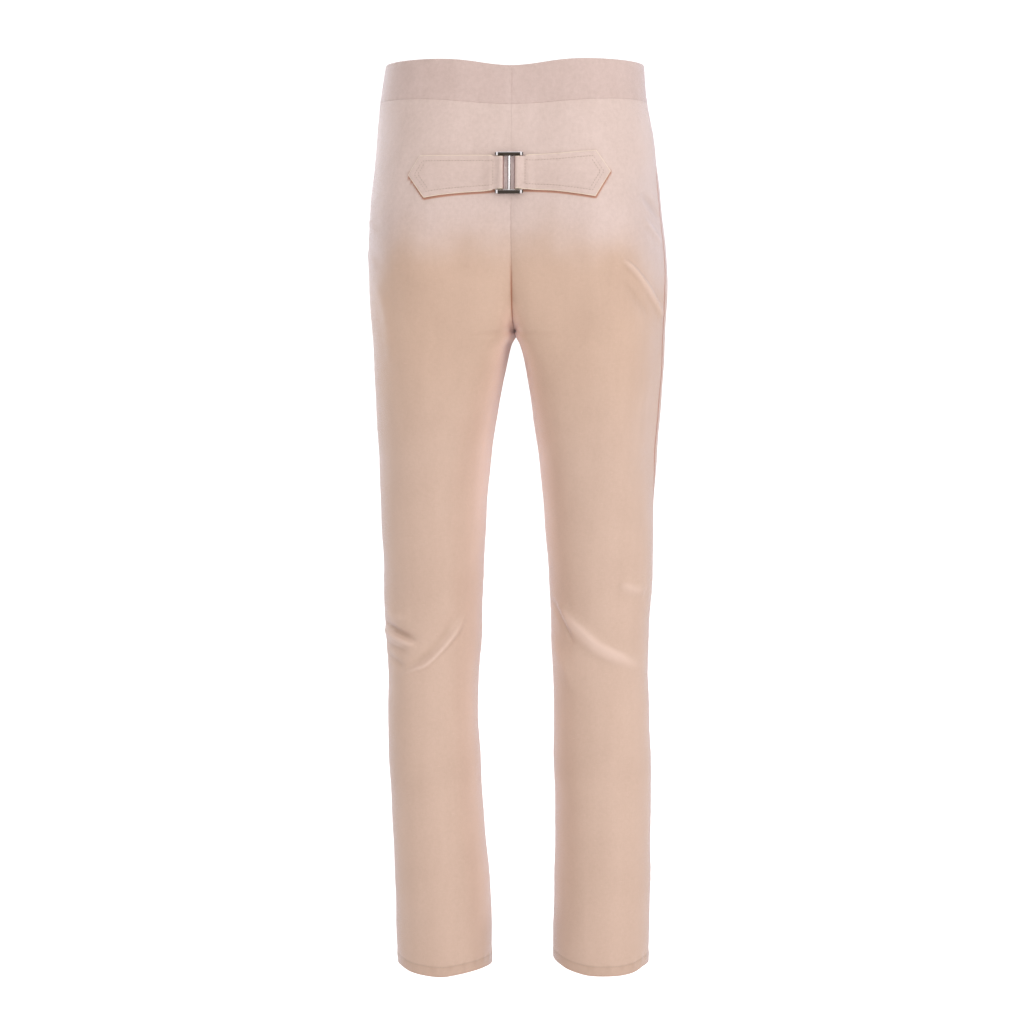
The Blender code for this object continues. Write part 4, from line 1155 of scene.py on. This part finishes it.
def tab_frames(name):
    """Stitches of a tab: round its edge, up and down beside the fold, and again at the point."""
    tab = TABS[name]
    rod_x = rod_place(tab.leg)
    outline = tab_outline(tab)
    start = rod_x + RETURN_LENGTH - 0.0015
    edge = inset_line(outline, TAB_STITCH)
    edge = edge[edge[:, 0] > start]
    low = np.array([start, np.interp(start, edge[:2, 0], edge[:2, 1])])
    high = np.array([start, np.interp(start, edge[-2:, 0], edge[-2:, 1])])
    point = inset_line(outline, TAB_STITCH + TAB_SECOND_ROW)[6:9]
    frames = []
    for line in (np.vstack([low, edge, high]), np.vstack([high, low]), point):
        parts = [np.linspace(a, b, 60)[:-1] for a, b in zip(line, line[1:])]
        places = np.vstack(parts + [line[-1:]])
        base, normals = tab_base(tab, places[:, 0], places[:, 1])
        relief, _ = tab_relief(places, outline)
        height = layer_height(places[:, 0] - rod_x) + settings().tab_thickness / 2 + relief
        frames.append(stitch_frames(base + normals * height[:, None], normals, TAB_PITCH))
    return frames


def fall_frames():
    """Stitches down both sides of the fall, along its top and along its sewn lower edge."""
    side = 1.0 - FALL_STITCH / FALL_HALF_TOP
    top = FALL_STITCH / FALL_HEIGHT
    low = 1.0 - FALL_FOOT_STITCH / FALL_HEIGHT
    above_low = low - FALL_FOOT_SPACING / FALL_HEIGHT
    end = FALL_FOOT_END
    frames = []
    for across_ends, down_ends in (
            ((-side, -side), (low, top)), ((-side, side), (top, top)), ((side, side), (top, low)),
            ((-end, end), (low, low)), ((-end, end), (above_low, above_low))):
        across = np.linspace(*across_ends, 300)
        down = np.linspace(*down_ends, 300)
        points, out = fall_skin(across, down)
        relief, _ = fall_relief(points, across, down)
        height = FALL_LIFT + settings().fall_thickness + relief
        frames.append(stitch_frames(points + out * height[:, None], out, settings().stitch_pitch))
    return frames


def buttonhole_frames():
    """Close stitches round each buttonhole, square to its slit."""
    frames = []
    for button_x in BUTTON_X.values():
        side = 1.0 if button_x >= 0 else -1.0
        x = button_x - side * SLIT_START + side * np.linspace(0.0, SLIT_LENGTH, SLIT_STITCHES)
        for direction in (1.0, -1.0):
            points, out = front_point(x, np.full_like(x, BUTTON_Z + SLIT_ASIDE * direction))
            points = points + out * (FALL_LIFT + settings().fall_thickness)
            up = np.tile([0.0, 0.0, direction], (len(x), 1))
            frames.append((points, up, out))
    return frames


def select_only(item):
    """Select one piece alone and make it active."""
    bpy.ops.object.select_all(action="DESELECT")
    item.select_set(True)
    bpy.context.view_layer.objects.active = item


def place_piece(item, matrix):
    """Turn a piece into its place, which goes into its mesh."""
    select_only(item)
    item.matrix_world = matrix
    bpy.ops.object.transform_apply(location=True, rotation=True, scale=True)


def add_solid(kind, location, scale=(1.0, 1.0, 1.0), **values):
    """A new primitive scaled along each axis, its place and scale gone into its mesh."""
    bpy.ops.object.select_all(action="DESELECT")
    getattr(bpy.ops.mesh, f"primitive_{kind}_add")(location=location, **values)
    bpy.context.object.scale = scale
    bpy.ops.object.transform_apply(location=True, rotation=True, scale=True)
    return bpy.context.object


def apply_modifier(item, kind, **values):
    """Add a modifier with its settings, and apply it."""
    modifier = item.modifiers.new(kind.title(), kind)
    for name, value in values.items():
        setattr(modifier, name, value)
    select_only(item)
    bpy.ops.object.modifier_apply(modifier=modifier.name)


def round_edges(item, width, segments, angle):
    """Bevel the edges of a piece that are sharper than an angle in degrees."""
    apply_modifier(
        item, "BEVEL", width=width, segments=segments, limit_method="ANGLE",
        angle_limit=math.radians(angle))


def combine(item, others, operation):
    """Join other solids to a piece, or cut them out of it."""
    for other in others:
        apply_modifier(item, "BOOLEAN", operation=operation, object=other, solver="EXACT")
        bpy.data.objects.remove(other, do_unlink=True)


def frame_matrix(origin, across, out, up):
    """A matrix whose axes are across, out and up."""
    turn = Matrix((Vector(across), Vector(out), Vector(up))).transposed().to_4x4()
    return Matrix.Translation(Vector(origin)) @ turn


def make_buckle():
    """The buckle: two chamfered bars and three round rods, polished nickel."""
    origin, up, out = buckle_frame()
    half = (BUCKLE_TOP - BUCKLE_BOTTOM) / 2 / up[2]
    parts = []
    for level in (half, -half):
        bar = add_solid("cube", (0.0, 0.0, level), (BAR_LENGTH, BAR_DEPTH, BAR_HEIGHT), size=1.0)
        bpy.ops.object.mode_set(mode="EDIT")
        bpy.ops.mesh.select_all(action="SELECT")
        bpy.ops.mesh.bevel(offset=BAR_CHAMFER, segments=1, affect="EDGES")
        bpy.ops.object.mode_set(mode="OBJECT")
        parts.append(bar)
    for x in (-ROD_SPACING, 0.0, ROD_SPACING):
        radius = ROD_RADIUS if x else CENTRE_ROD_RADIUS
        rod = add_solid("cylinder", (x, 0.0, 0.0), vertices=40, radius=radius, depth=2 * half)
        parts.append(rod)
    buckle = parts[0]
    buckle.name = "buckle_metal_frame"
    combine(buckle, parts[1:], "UNION")
    round_edges(buckle, BUCKLE_EDGE, 2, 28)
    place_piece(buckle, frame_matrix(origin, np.cross(up, out), out, up))
    bpy.ops.object.shade_smooth_by_angle(angle=SMOOTH_ANGLE)
    dress(buckle, metal_finish(), "buckle")


def select_top(item, height):
    """Select the faces of a piece that look up at a height, with its mesh in edit mode."""
    bpy.ops.object.mode_set(mode="OBJECT")
    for face in item.data.polygons:
        face.select = face.normal.z > 0.9 and abs(face.center.z - height) < 0.0002
    bpy.ops.object.mode_set(mode="EDIT")
    bpy.ops.mesh.select_mode(type="FACE")


def model_button():
    """One dished button with four holes, its back at the origin, facing Z."""
    button = add_solid(
        "cylinder", (0.0, 0.0, BUTTON_HEIGHT / 2), vertices=64, radius=BUTTON_RADIUS,
        depth=BUTTON_HEIGHT)
    select_top(button, BUTTON_HEIGHT)
    bpy.ops.mesh.inset(thickness=BUTTON_RIM)
    bpy.ops.mesh.inset(thickness=BUTTON_SLOPE)
    bpy.ops.transform.translate(value=(0.0, 0.0, -BUTTON_DISH))
    bpy.ops.object.mode_set(mode="OBJECT")
    cutters = []
    for quarter in range(4):
        angle = math.pi / 4 + quarter * math.pi / 2
        place = (HOLE_PLACE * math.cos(angle), HOLE_PLACE * math.sin(angle), 0.0)
        cutters.append(add_solid("cylinder", place, vertices=20, radius=HOLE_RADIUS, depth=0.01))
    combine(button, cutters, "DIFFERENCE")
    round_edges(button, BUTTON_EDGE, 3, 35)
    return button


def model_button_thread():
    """Two runs of thread through the holes of a button, side by side."""
    strands = []
    for angle in (math.pi / 4, -math.pi / 4):
        for side in (-STRAND_ASIDE, STRAND_ASIDE):
            place = Vector((0.0, side, BUTTON_HEIGHT - STRAND_SUNK))
            strand = add_solid(
                "uv_sphere", place, STRAND_SIZE, segments=16, ring_count=12, radius=1.0)
            place_piece(strand, Matrix.Rotation(angle, 4, "Z"))
            strands.append(strand)
    bpy.ops.object.select_all(action="DESELECT")
    for strand in strands:
        strand.select_set(True)
    bpy.context.view_layer.objects.active = strands[0]
    bpy.ops.object.join()
    return bpy.context.object


def make_buttons():
    """Three horn buttons that hold the fall up, each sewn through its four holes.

    The frame's plain buttons stay in view with them.
    """
    originals = ((model_button(), horn_finish()), (model_button_thread(), thread_finish()))
    lift = FALL_LIFT + settings().fall_thickness + SEAM_GAP
    for name, x in BUTTON_X.items():
        points, normals = place_on_surface(FRONT, np.array([x]), np.array([BUTTON_Z]))
        point, normal = Vector(points[0]), Vector(normals[0])
        if x == 0.0:
            point.x = 0.0
            normal.x = 0.0
        turn = normal.normalized().to_track_quat("Z", "Y").to_matrix().to_4x4()
        matrix = Matrix.Translation(point + normal * lift) @ turn
        for original, finish in originals:
            copy = original.copy()
            copy.data = original.data.copy()
            bpy.context.scene.collection.objects.link(copy)
            copy.name = name + "_thread"
            place_piece(copy, matrix)
            bpy.ops.object.shade_smooth_by_angle(angle=SMOOTH_ANGLE)
            dress(copy, finish)
    for original, _ in originals:
        bpy.data.objects.remove(original, do_unlink=True)


class Wire:
    """An output of a node, with arithmetic that adds Math nodes."""

    def __init__(self, finish, socket):
        self.finish = finish
        self.socket = socket

    def math(self, operation, *values):
        """A Math node on values, this output among them."""
        return self.finish.node("ShaderNodeMath", {"operation": operation}, dict(enumerate(values)))

    def __add__(self, other):
        return self.math("ADD", self, other)

    def __sub__(self, other):
        return self.math("SUBTRACT", self, other)

    def __rsub__(self, other):
        return self.math("SUBTRACT", other, self)

    def __mul__(self, other):
        return self.math("MULTIPLY", self, other)

    def __truediv__(self, other):
        return self.math("DIVIDE", self, other)

    __radd__ = __add__
    __rmul__ = __mul__

    def sine(self):
        """The sine of this output, in radians."""
        return self.math("SINE", self)

    def size(self):
        """This output without its sign."""
        return self.math("ABSOLUTE", self)

    def between(self, low, high):
        """A soft step from 0 to 1 as this output goes from low to high."""
        return self.step({"From Min": low, "From Max": high})

    def step(self, limits):
        """A soft step between limits."""
        return self.finish.node(
            "ShaderNodeMapRange", {"interpolation_type": "SMOOTHSTEP"}, {"Value": self, **limits})


class Nodes:
    """The nodes of a material or of the world."""

    def __init__(self, tree):
        self.tree = tree

    def node(self, kind, values, inputs, output=0):
        """Add a node, set its settings and then its sockets, and return one output."""
        node = self.tree.nodes.new(kind)
        for name, value in values.items():
            setattr(node, name, value)
        for socket, value in inputs.items():
            if isinstance(value, Wire):
                self.tree.links.new(value.socket, node.inputs[socket])
            else:
                node.inputs[socket].default_value = value
        return Wire(self, node.outputs[output])

    def parts(self, vector):
        """The three numbers of a vector."""
        split = self.node("ShaderNodeSeparateXYZ", {}, {"Vector": vector}).socket.node
        return [Wire(self, socket) for socket in split.outputs]

    def choose_when_seen(self, hidden, seen, output):
        """Show one shader to the camera, and light the other pieces by another."""
        ray = self.node("ShaderNodeLightPath", {}, {}, "Is Camera Ray")
        choice = self.node("ShaderNodeMixShader", {}, {0: ray, 1: hidden, 2: seen})
        self.tree.links.new(choice.socket, self.tree.nodes[output].inputs["Surface"])


class Finish(Nodes):
    """A material under construction, with its Principled shader."""

    def __init__(self, name, **constants):
        self.material = bpy.data.materials.new(name)
        self.material.use_nodes = True
        super().__init__(self.material.node_tree)
        self.shader = self.tree.nodes["Principled BSDF"]
        for socket, value in constants.items():
            self.shader.inputs[socket.replace("_", " ")].default_value = value

    def uv(self):
        """Places on the cloth, in metres."""
        return self.node("ShaderNodeUVMap", {"uv_map": "cloth"}, {})

    def object_place(self):
        """Places in the object, in metres."""
        return self.node("ShaderNodeTexCoord", {}, {}, "Object")

    def mark(self, name):
        """A number that the mesh holds at each point, and 0 where it holds none."""
        return self.node("ShaderNodeAttribute", {"attribute_name": name}, {}, "Fac")

    def noise(self, vector, stretch, detail=3.0, roughness=0.5):
        """Soft noise about a half, finer along the axes that it is stretched more along."""
        if isinstance(stretch, tuple):
            vector = self.node(
                "ShaderNodeVectorMath", {"operation": "MULTIPLY"}, {0: vector, 1: stretch})
            stretch = 1.0
        return self.node(
            "ShaderNodeTexNoise", {},
            {"Vector": vector, "Scale": stretch, "Detail": detail, "Roughness": roughness})

    def mix(self, factor, first, second, blend="MIX"):
        """Two colours mixed by a factor."""
        return self.node(
            "ShaderNodeMix", {"data_type": "RGBA", "blend_type": blend},
            {MIX_FACTOR: factor, MIX_FIRST: first, MIX_SECOND: second}, MIX_RESULT)

    def close(self, colour, roughness, relief, distance, strength):
        """Feed the shader its colour, its roughness and the relief of its surface."""
        normal = self.node(
            "ShaderNodeBump", {}, {"Height": relief, "Distance": distance, "Strength": strength},
            "Normal")
        for socket, value in (("Base Color", colour), ("Roughness", roughness), ("Normal", normal)):
            self.tree.links.new(value.socket, self.shader.inputs[socket])
        return self.material


def tint(colour, factor, warm=0.0):
    """A colour made lighter or darker, and a little warmer, with its alpha."""
    red, green, blue = colour
    return (red * factor * (1.0 + warm), green * factor, blue * factor * (1.0 - warm), 1.0)


def cloth_finish(name):
    """Fine twill: a diagonal weave, slubbed threads, mottling, and shade in seams and folds."""
    found = bpy.data.materials.get("woven_" + name)
    if found:
        return found
    values = settings()
    colour = {
        "trouser_cloth": values.cloth_colour,
        "waistband_cloth": values.band_colour,
        "tab_cloth": values.tab_colour,
    }[name]
    finish = Finish(
        "woven_" + name, Sheen_Weight=0.62, Sheen_Roughness=0.28, Sheen_Tint=(0.90, 0.84, 1.0, 1.0),
        Specular_IOR_Level=0.5)
    uv = finish.uv()
    place = finish.object_place()
    slub = finish.noise(uv, (900.0, 190.0, 1.0), 2.0)
    pick = finish.noise(uv, (170.0, 1000.0, 1.0), 2.0)
    cloud = finish.noise(place, 16.0)
    streak = finish.noise(place, (70.0, 70.0, 5.0), 2.0)
    mottle = finish.noise(place, 210.0, 4.0, 0.65)
    side, _, height = finish.parts(place)
    # The upper seat: painted sheen there, and stronger mottling
    aside = side.size().between(*UPPER_SEAT_ASIDE)
    uneven = height + (cloud - 0.5) * UPPER_SEAT_UNEVEN + aside * UPPER_SEAT_ASIDE_DROP
    upper_seat = uneven.between(UPPER_SEAT_LOW, UPPER_SEAT_HIGH)
    tone = 0.5 + (cloud - 0.5) * 0.7 + (streak - 0.5) * 0.35 + (slub - 0.5) * 0.4
    tone = tone + (pick - 0.5) * 0.3 + (mottle - 0.5) * (0.5 + upper_seat * 0.6)
    base = finish.mix(tone, tint(colour, 0.87, 0.02), tint(colour, 1.12, -0.015))
    depth = finish.mark("depth")
    speck = slub.between(0.66, 0.74) * mottle.between(0.48, 0.60)
    # Painted shade in hollows and painted highlight on ridges, from the depth mark
    hollow = (depth * -1000.0).between(0.1, 3.4)
    ridge = (depth * 1000.0).between(0.6, 4.0)
    for share, second in (
            (speck * 0.45, tint(colour, 0.70, 0.03)),
            (pick.between(0.68, 0.76) * 0.35, tint(colour, 1.22, -0.02)),
            (hollow * 0.42, tint(colour, 0.60, 0.10)),
            (ridge * 0.60, RIDGE_HIGHLIGHT)):
        base = finish.mix(share, base, second)
    tints = []
    if name == "trouser_cloth":
        # Painted sheen and shade on the seat, light along the inseam, shade in seams and under tabs
        warm_shade = height.between(*WARM_SHADE_END) - uneven.between(*WARM_SHADE_START)
        tints = [
            (upper_seat, SEAT_SHEEN_TINT), (1.0 - height.between(*UNDER_SEAT_SHADE), UNDER_SEAT_SHADE_TINT), (warm_shade, WARM_SHADE_TINT),
            (finish.mark("inside"), INSEAM_LIGHT_TINT), (finish.mark("seam"), SEAM_AND_SHADOW_TINT)]
    if name == "tab_cloth":
        # Painted highlight along the tab's edges
        base = finish.mix(finish.mark("rim").between(0.25, 0.95) * 0.7, base, TAB_EDGE_HIGHLIGHT)
        # Painted shade at the tab's fold round the rod
        tints = [(finish.mark("seam"), FOLD_SHADE_TINT)]
    for share, second in tints:
        base = finish.mix(share, base, second, "MULTIPLY")
    u, v, _ = finish.parts(uv)
    turn = 2 * math.pi / values.weave_pitch
    weave = ((u + v) * turn).sine() * 0.35 + ((u - v * 0.6) * (turn * 1.7)).sine() * 0.15
    relief = weave + (slub - 0.5) * 0.9 + (pick - 0.5) * 0.7 + (mottle - 0.5) * 1.2
    roughness = 0.47 + (mottle - 0.5) * 0.20 + (slub - 0.5) * 0.12
    return finish.close(base, roughness, relief, 0.00022, 0.55)


def thread_finish():
    """Sewing thread: two plies twisted together."""
    found = bpy.data.materials.get("sewing_thread")
    if found:
        return found
    colour = settings().thread_colour
    finish = Finish("sewing_thread", Sheen_Weight=0.3, Sheen_Roughness=0.3)
    place = finish.object_place()
    x, y, z = finish.parts(place)
    twist = ((x + y * 0.8 + z * 1.1) * (2 * math.pi / PLY_PITCH)).sine()
    fluff = finish.noise(place, 900.0, 2.0)
    tone = 0.5 + twist * 0.25 + (fluff - 0.5) * 0.5
    base = finish.mix(tone, tint(colour, 0.80), tint(colour, 1.12))
    return finish.close(base, 0.5 + (fluff - 0.5) * 0.2, twist, 0.00008, 0.5)


def metal_finish():
    """Nickel plate with fine rubbing marks and a faint bloom, and painted dark reflections."""
    finish = Finish("nickel_plate", Metallic=1.0)
    place = finish.object_place()
    marks = finish.noise(place, (260.0, 900.0, 2600.0))
    bloom = finish.noise(place, 240.0, 4.0, 0.6)
    colour = settings().metal_colour
    base = finish.mix(bloom.between(0.35, 0.75), tint(colour, 1.0), tint(colour, 0.86, 0.02))
    side, _, height = finish.parts(place)
    aside = (side - BUCKLE_X).size()
    start, end = (aside.between(*limits) for limits in BRIGHT_END)
    bright_end = start - end
    # Painted dark reflections on the bars, but not on their ends
    for middle in (BUCKLE_TOP, BUCKLE_BOTTOM):
        low, high = (height.between(middle + a, middle + b) for a, b in BAR_DARK)
        base = finish.mix((low - high) * (1.0 - bright_end) * 0.97, base, tint(colour, 0.030, 0.35))
    # Painted dark reflection on the middle rod's edges
    near, far = ROD_END
    between_bars = height.between(BUCKLE_BOTTOM + near, BUCKLE_BOTTOM + far)
    between_bars = between_bars - height.between(BUCKLE_TOP - far, BUCKLE_TOP - near)
    rod_edge = aside.between(*ROD_DARK) * between_bars
    base = finish.mix(rod_edge * 0.85, base, tint(colour, 0.16, 0.30))
    return finish.close(base, 0.13 + marks * 0.10 + bloom * 0.10, marks, 0.00003, 0.3)


def horn_finish():
    """Horn: brown layers drawn out across the button, softly polished."""
    finish = Finish("polished_horn", Coat_Roughness=0.2, Specular_IOR_Level=0.5)
    place = finish.object_place()
    layers = finish.noise(place, (120.0, 120.0, 620.0), 4.0, 0.6)
    grain = finish.noise(place, 1500.0, 2.0)
    colour = settings().button_colour
    base = finish.mix(
        layers.between(0.35, 0.68), tint(colour, 0.62, 0.04), tint(colour, 1.25, -0.02))
    base = finish.mix(grain.between(0.6, 0.8) * 0.3, base, tint(colour, 0.45, 0.05))
    return finish.close(base, 0.30 + (grain - 0.5) * 0.12, layers, 0.0001, 0.2)


def make_world():
    """Soft light all round, a little weaker from one side, and plain white behind everything."""
    values = settings()
    world = bpy.data.worlds.new("studio")
    world.use_nodes = True
    nodes = Nodes(world.node_tree)
    nodes.tree.nodes.remove(nodes.tree.nodes["Background"])
    place = nodes.node("ShaderNodeTexCoord", {}, {}, "Generated")
    share = nodes.node(
        "ShaderNodeVectorMath", {"operation": "DOT_PRODUCT"}, {0: place, 1: DIM_SIDE}, "Value")
    strength = values.sky_strength
    strength = share.step({"To Min": strength, "To Max": strength * DIM_SHARE})
    sky = nodes.node(
        "ShaderNodeBackground", {}, {"Color": (*values.sky_colour, 1.0), "Strength": strength})
    backdrop = nodes.node(
        "ShaderNodeBackground", {}, {"Color": WHITE, "Strength": BACKDROP_STRENGTH})
    nodes.choose_when_seen(sky, backdrop, "World Output")
    bpy.context.scene.world = world
    bpy.context.scene.view_settings.view_transform = "Standard"


def make_floor():
    """A plain pale floor under the hems, paler to look at than its light on other pieces."""
    values = settings()
    floor = add_solid(
        "circle", (0.0, 0.0, -values.floor_drop), vertices=96, radius=FLOOR_RADIUS,
        fill_type="NGON")
    floor.name = "floor"
    finish = Finish("floor_paint", Base_Color=(*values.floor_colour, 1.0), Roughness=0.9)
    paint = Wire(finish, finish.shader.outputs["BSDF"])
    glow = finish.node("ShaderNodeEmission", {}, {"Strength": FLOOR_GLOW})
    bright = finish.node("ShaderNodeAddShader", {}, {0: paint, 1: glow})
    finish.choose_when_seen(paint, bright, "Material Output")
    floor.data.materials.append(finish.material)


def add_lamp(lamp_name, place, size, colour, share):
    """A square lamp that looks at the trousers."""
    lamp = bpy.data.lights.new(lamp_name, "AREA")
    lamp.energy = settings().lamp_power * share
    lamp.size = size
    lamp.color = colour
    item = bpy.data.objects.new(lamp_name, lamp)
    item.location = place
    item.rotation_euler = (Vector(LAMP_TARGET) - Vector(place)).to_track_quat("-Z", "Y").to_euler()
    bpy.context.scene.collection.objects.link(item)


def add_camera():
    """The camera behind the trousers, a little to the wearer's right, looking slightly down."""
    values = settings()
    yaw = values.camera_yaw
    tilt = values.camera_tilt
    level = math.cos(tilt)
    view = Vector((math.sin(yaw) * level, -math.cos(yaw) * level, -math.sin(tilt)))
    across = view.cross(Vector((0.0, 0.0, 1.0))).normalized()
    data = bpy.data.cameras.new("camera")
    data.sensor_width = 36.0
    data.lens = values.camera_lens
    camera = bpy.data.objects.new("camera", data)
    distance = values.camera_distance
    place = Vector((-distance * math.sin(yaw), distance * math.cos(yaw), values.camera_height))
    camera.location = place - across * values.camera_aside
    camera.rotation_euler = view.to_track_quat("-Z", "Y").to_euler()
    bpy.context.scene.collection.objects.link(camera)
    bpy.context.scene.camera = camera


def length_property(name, description, default):
    """A length in metres."""
    return FloatProperty(
        name=name, description=description, default=default, min=0.0, precision=4, unit="LENGTH")


def colour_property(name, description, default):
    """A colour."""
    return FloatVectorProperty(
        name=name, description=description, default=default, min=0.0, max=1.0, subtype="COLOR")


class TrousersSettings(bpy.types.PropertyGroup):
    """Sizes and colours of the trousers and their stage."""

    cloth_thickness: length_property("Cloth", "Thickness of the leg panels", 0.0015)
    band_thickness: length_property("Waistband", "Thickness of the waistband", 0.0026)
    fall_thickness: length_property("Fall", "Thickness of the fall", 0.0022)
    tab_thickness: length_property("Tabs", "Thickness of the half belt tabs", 0.0017)
    crease_depth: FloatProperty(
        name="Creases", description="Depth of the creases, 1 as worn", default=1.0, min=0.0,
        max=1.5)
    weave_pitch: length_property("Weave", "Distance from rib to rib of the twill", 0.0009)
    stitch_length: length_property("Stitch", "Length of a stitch", 0.0021)
    stitch_pitch: length_property("Stitch pitch", "Distance from stitch to stitch", 0.0029)
    thread_width: length_property("Thread", "Width of the sewing thread", 0.00062)
    cloth_colour: colour_property("Cloth colour", "Colour of panels and fall", (0.59, 0.41, 0.318))
    band_colour: colour_property("Band colour", "Colour of the waistband", (0.552, 0.410, 0.368))
    tab_colour: colour_property("Tab colour", "Colour of the half belt tabs", (0.592, 0.446, 0.395))
    thread_colour: colour_property("Thread colour", "Colour of the thread", (0.42, 0.315, 0.255))
    metal_colour: colour_property("Buckle colour", "Colour of the buckle", (0.86, 0.82, 0.83))
    button_colour: colour_property("Button colour", "Colour of the buttons", (0.42, 0.31, 0.21))
    floor_colour: colour_property("Floor colour", "Colour of the floor", (0.90, 0.90, 0.90))
    sky_colour: colour_property("Light colour", "Colour of the light all round", (1.0, 1.0, 1.0))
    sky_strength: FloatProperty(
        name="Light", description="Strength of the light all round", default=1.055, min=0.0)
    lamp_power: FloatProperty(
        name="Lamps", description="Power of a lamp whose share is 1", default=30.0, min=0.0,
        unit="POWER")
    floor_drop: length_property("Floor", "Depth of the floor under the waist", 1.10)
    camera_distance: length_property("Camera distance", "Distance of the camera", 2.90)
    camera_height: FloatProperty(
        name="Camera height", description="Height of the camera over the waist", default=-0.27,
        unit="LENGTH")
    camera_yaw: FloatProperty(
        name="Camera turn", description="Turn of the camera round the wearer's right",
        default=math.radians(3.0), subtype="ANGLE")
    camera_tilt: FloatProperty(
        name="Camera tilt", description="Tilt of the camera, down",
        default=math.radians(4.34), subtype="ANGLE")
    camera_aside: length_property("Camera aside", "Step of the camera to its left", 0.0052)
    camera_lens: FloatProperty(
        name="Lens", description="Focal length in millimetres", default=88.07)


class TROUSERS_OT_panels(bpy.types.Operator):
    """Make the four leg panels"""

    bl_idname = "trousers.panels"
    bl_label = "Leg panels"
    bl_options = {"REGISTER", "UNDO"}

    def execute(self, context):
        for leg in SIGNS:
            for face in (BACK, FRONT):
                make_panel(leg, face)
        return {"FINISHED"}


class TROUSERS_OT_waistband(bpy.types.Operator):
    """Make both halves of the waistband"""

    bl_idname = "trousers.waistband"
    bl_label = "Waistband"
    bl_options = {"REGISTER", "UNDO"}

    def execute(self, context):
        for leg in SIGNS:
            make_band(leg)
        return {"FINISHED"}


class TROUSERS_OT_fall(bpy.types.Operator):
    """Make the fall at the front"""

    bl_idname = "trousers.fall"
    bl_label = "Fall"
    bl_options = {"REGISTER", "UNDO"}

    def execute(self, context):
        make_fall()
        return {"FINISHED"}


class TROUSERS_OT_tabs(bpy.types.Operator):
    """Make the two half belt tabs"""

    bl_idname = "trousers.tabs"
    bl_label = "Half belt tabs"
    bl_options = {"REGISTER", "UNDO"}

    def execute(self, context):
        for name in TABS:
            make_tab(name)
        return {"FINISHED"}


class TROUSERS_OT_stitching(bpy.types.Operator):
    """Make the stitching of the hems, tabs, fall and buttonholes"""

    bl_idname = "trousers.stitching"
    bl_label = "Stitching"
    bl_options = {"REGISTER", "UNDO"}

    def execute(self, context):
        for leg in SIGNS:
            lay_stitches(f"hem_{leg}_stitches", hem_frames(leg))
        for name in TABS:
            lay_stitches(f"{name}_stitches", tab_frames(name))
        lay_stitches("fall_stitches", fall_frames())
        lay_stitches("buttonhole_stitches", buttonhole_frames(), SLIT_STITCH)
        return {"FINISHED"}


class TROUSERS_OT_buckle(bpy.types.Operator):
    """Make the buckle"""

    bl_idname = "trousers.buckle"
    bl_label = "Buckle"
    bl_options = {"REGISTER", "UNDO"}

    def execute(self, context):
        make_buckle()
        return {"FINISHED"}


class TROUSERS_OT_buttons(bpy.types.Operator):
    """Make the three buttons of the fall"""

    bl_idname = "trousers.buttons"
    bl_label = "Buttons"
    bl_options = {"REGISTER", "UNDO"}

    def execute(self, context):
        make_buttons()
        return {"FINISHED"}


class TROUSERS_OT_stage(bpy.types.Operator):
    """Make the floor, the lights and the camera"""

    bl_idname = "trousers.stage"
    bl_label = "Stage"
    bl_options = {"REGISTER", "UNDO"}

    def execute(self, context):
        make_floor()
        make_world()
        for lamp in LAMPS:
            add_lamp(*lamp)
        add_camera()
        return {"FINISHED"}


PIECES = (
    TROUSERS_OT_panels, TROUSERS_OT_waistband, TROUSERS_OT_fall, TROUSERS_OT_tabs,
    TROUSERS_OT_stitching, TROUSERS_OT_buckle, TROUSERS_OT_buttons, TROUSERS_OT_stage,
)


class TROUSERS_PT_sidebar(bpy.types.Panel):
    """Sizes, colours and pieces of the trousers"""

    bl_label = "Fall-front trousers"
    bl_idname = "TROUSERS_PT_sidebar"
    bl_space_type = "VIEW_3D"
    bl_region_type = "UI"
    bl_category = "Trousers"

    def draw(self, context):
        """List every setting, then a button for each piece."""
        values = context.scene.fall_front_trousers
        for name in values.__annotations__:
            self.layout.prop(values, name)
        for piece in PIECES:
            self.layout.operator(piece.bl_idname)


CLASSES = (TrousersSettings, *PIECES, TROUSERS_PT_sidebar)


def register():
    """Add the classes and the settings."""
    for item in CLASSES:
        bpy.utils.register_class(item)
    bpy.types.Scene.fall_front_trousers = PointerProperty(type=TrousersSettings)


def unregister():
    """Take the settings and the classes away."""
    del bpy.types.Scene.fall_front_trousers
    for item in reversed(CLASSES):
        bpy.utils.unregister_class(item)


def main():
    """Build every piece in order."""
    register()
    for piece in PIECES:
        area, name = piece.bl_idname.split(".")
        getattr(getattr(bpy.ops, area), name)()


if __name__ == "__main__":
    main()
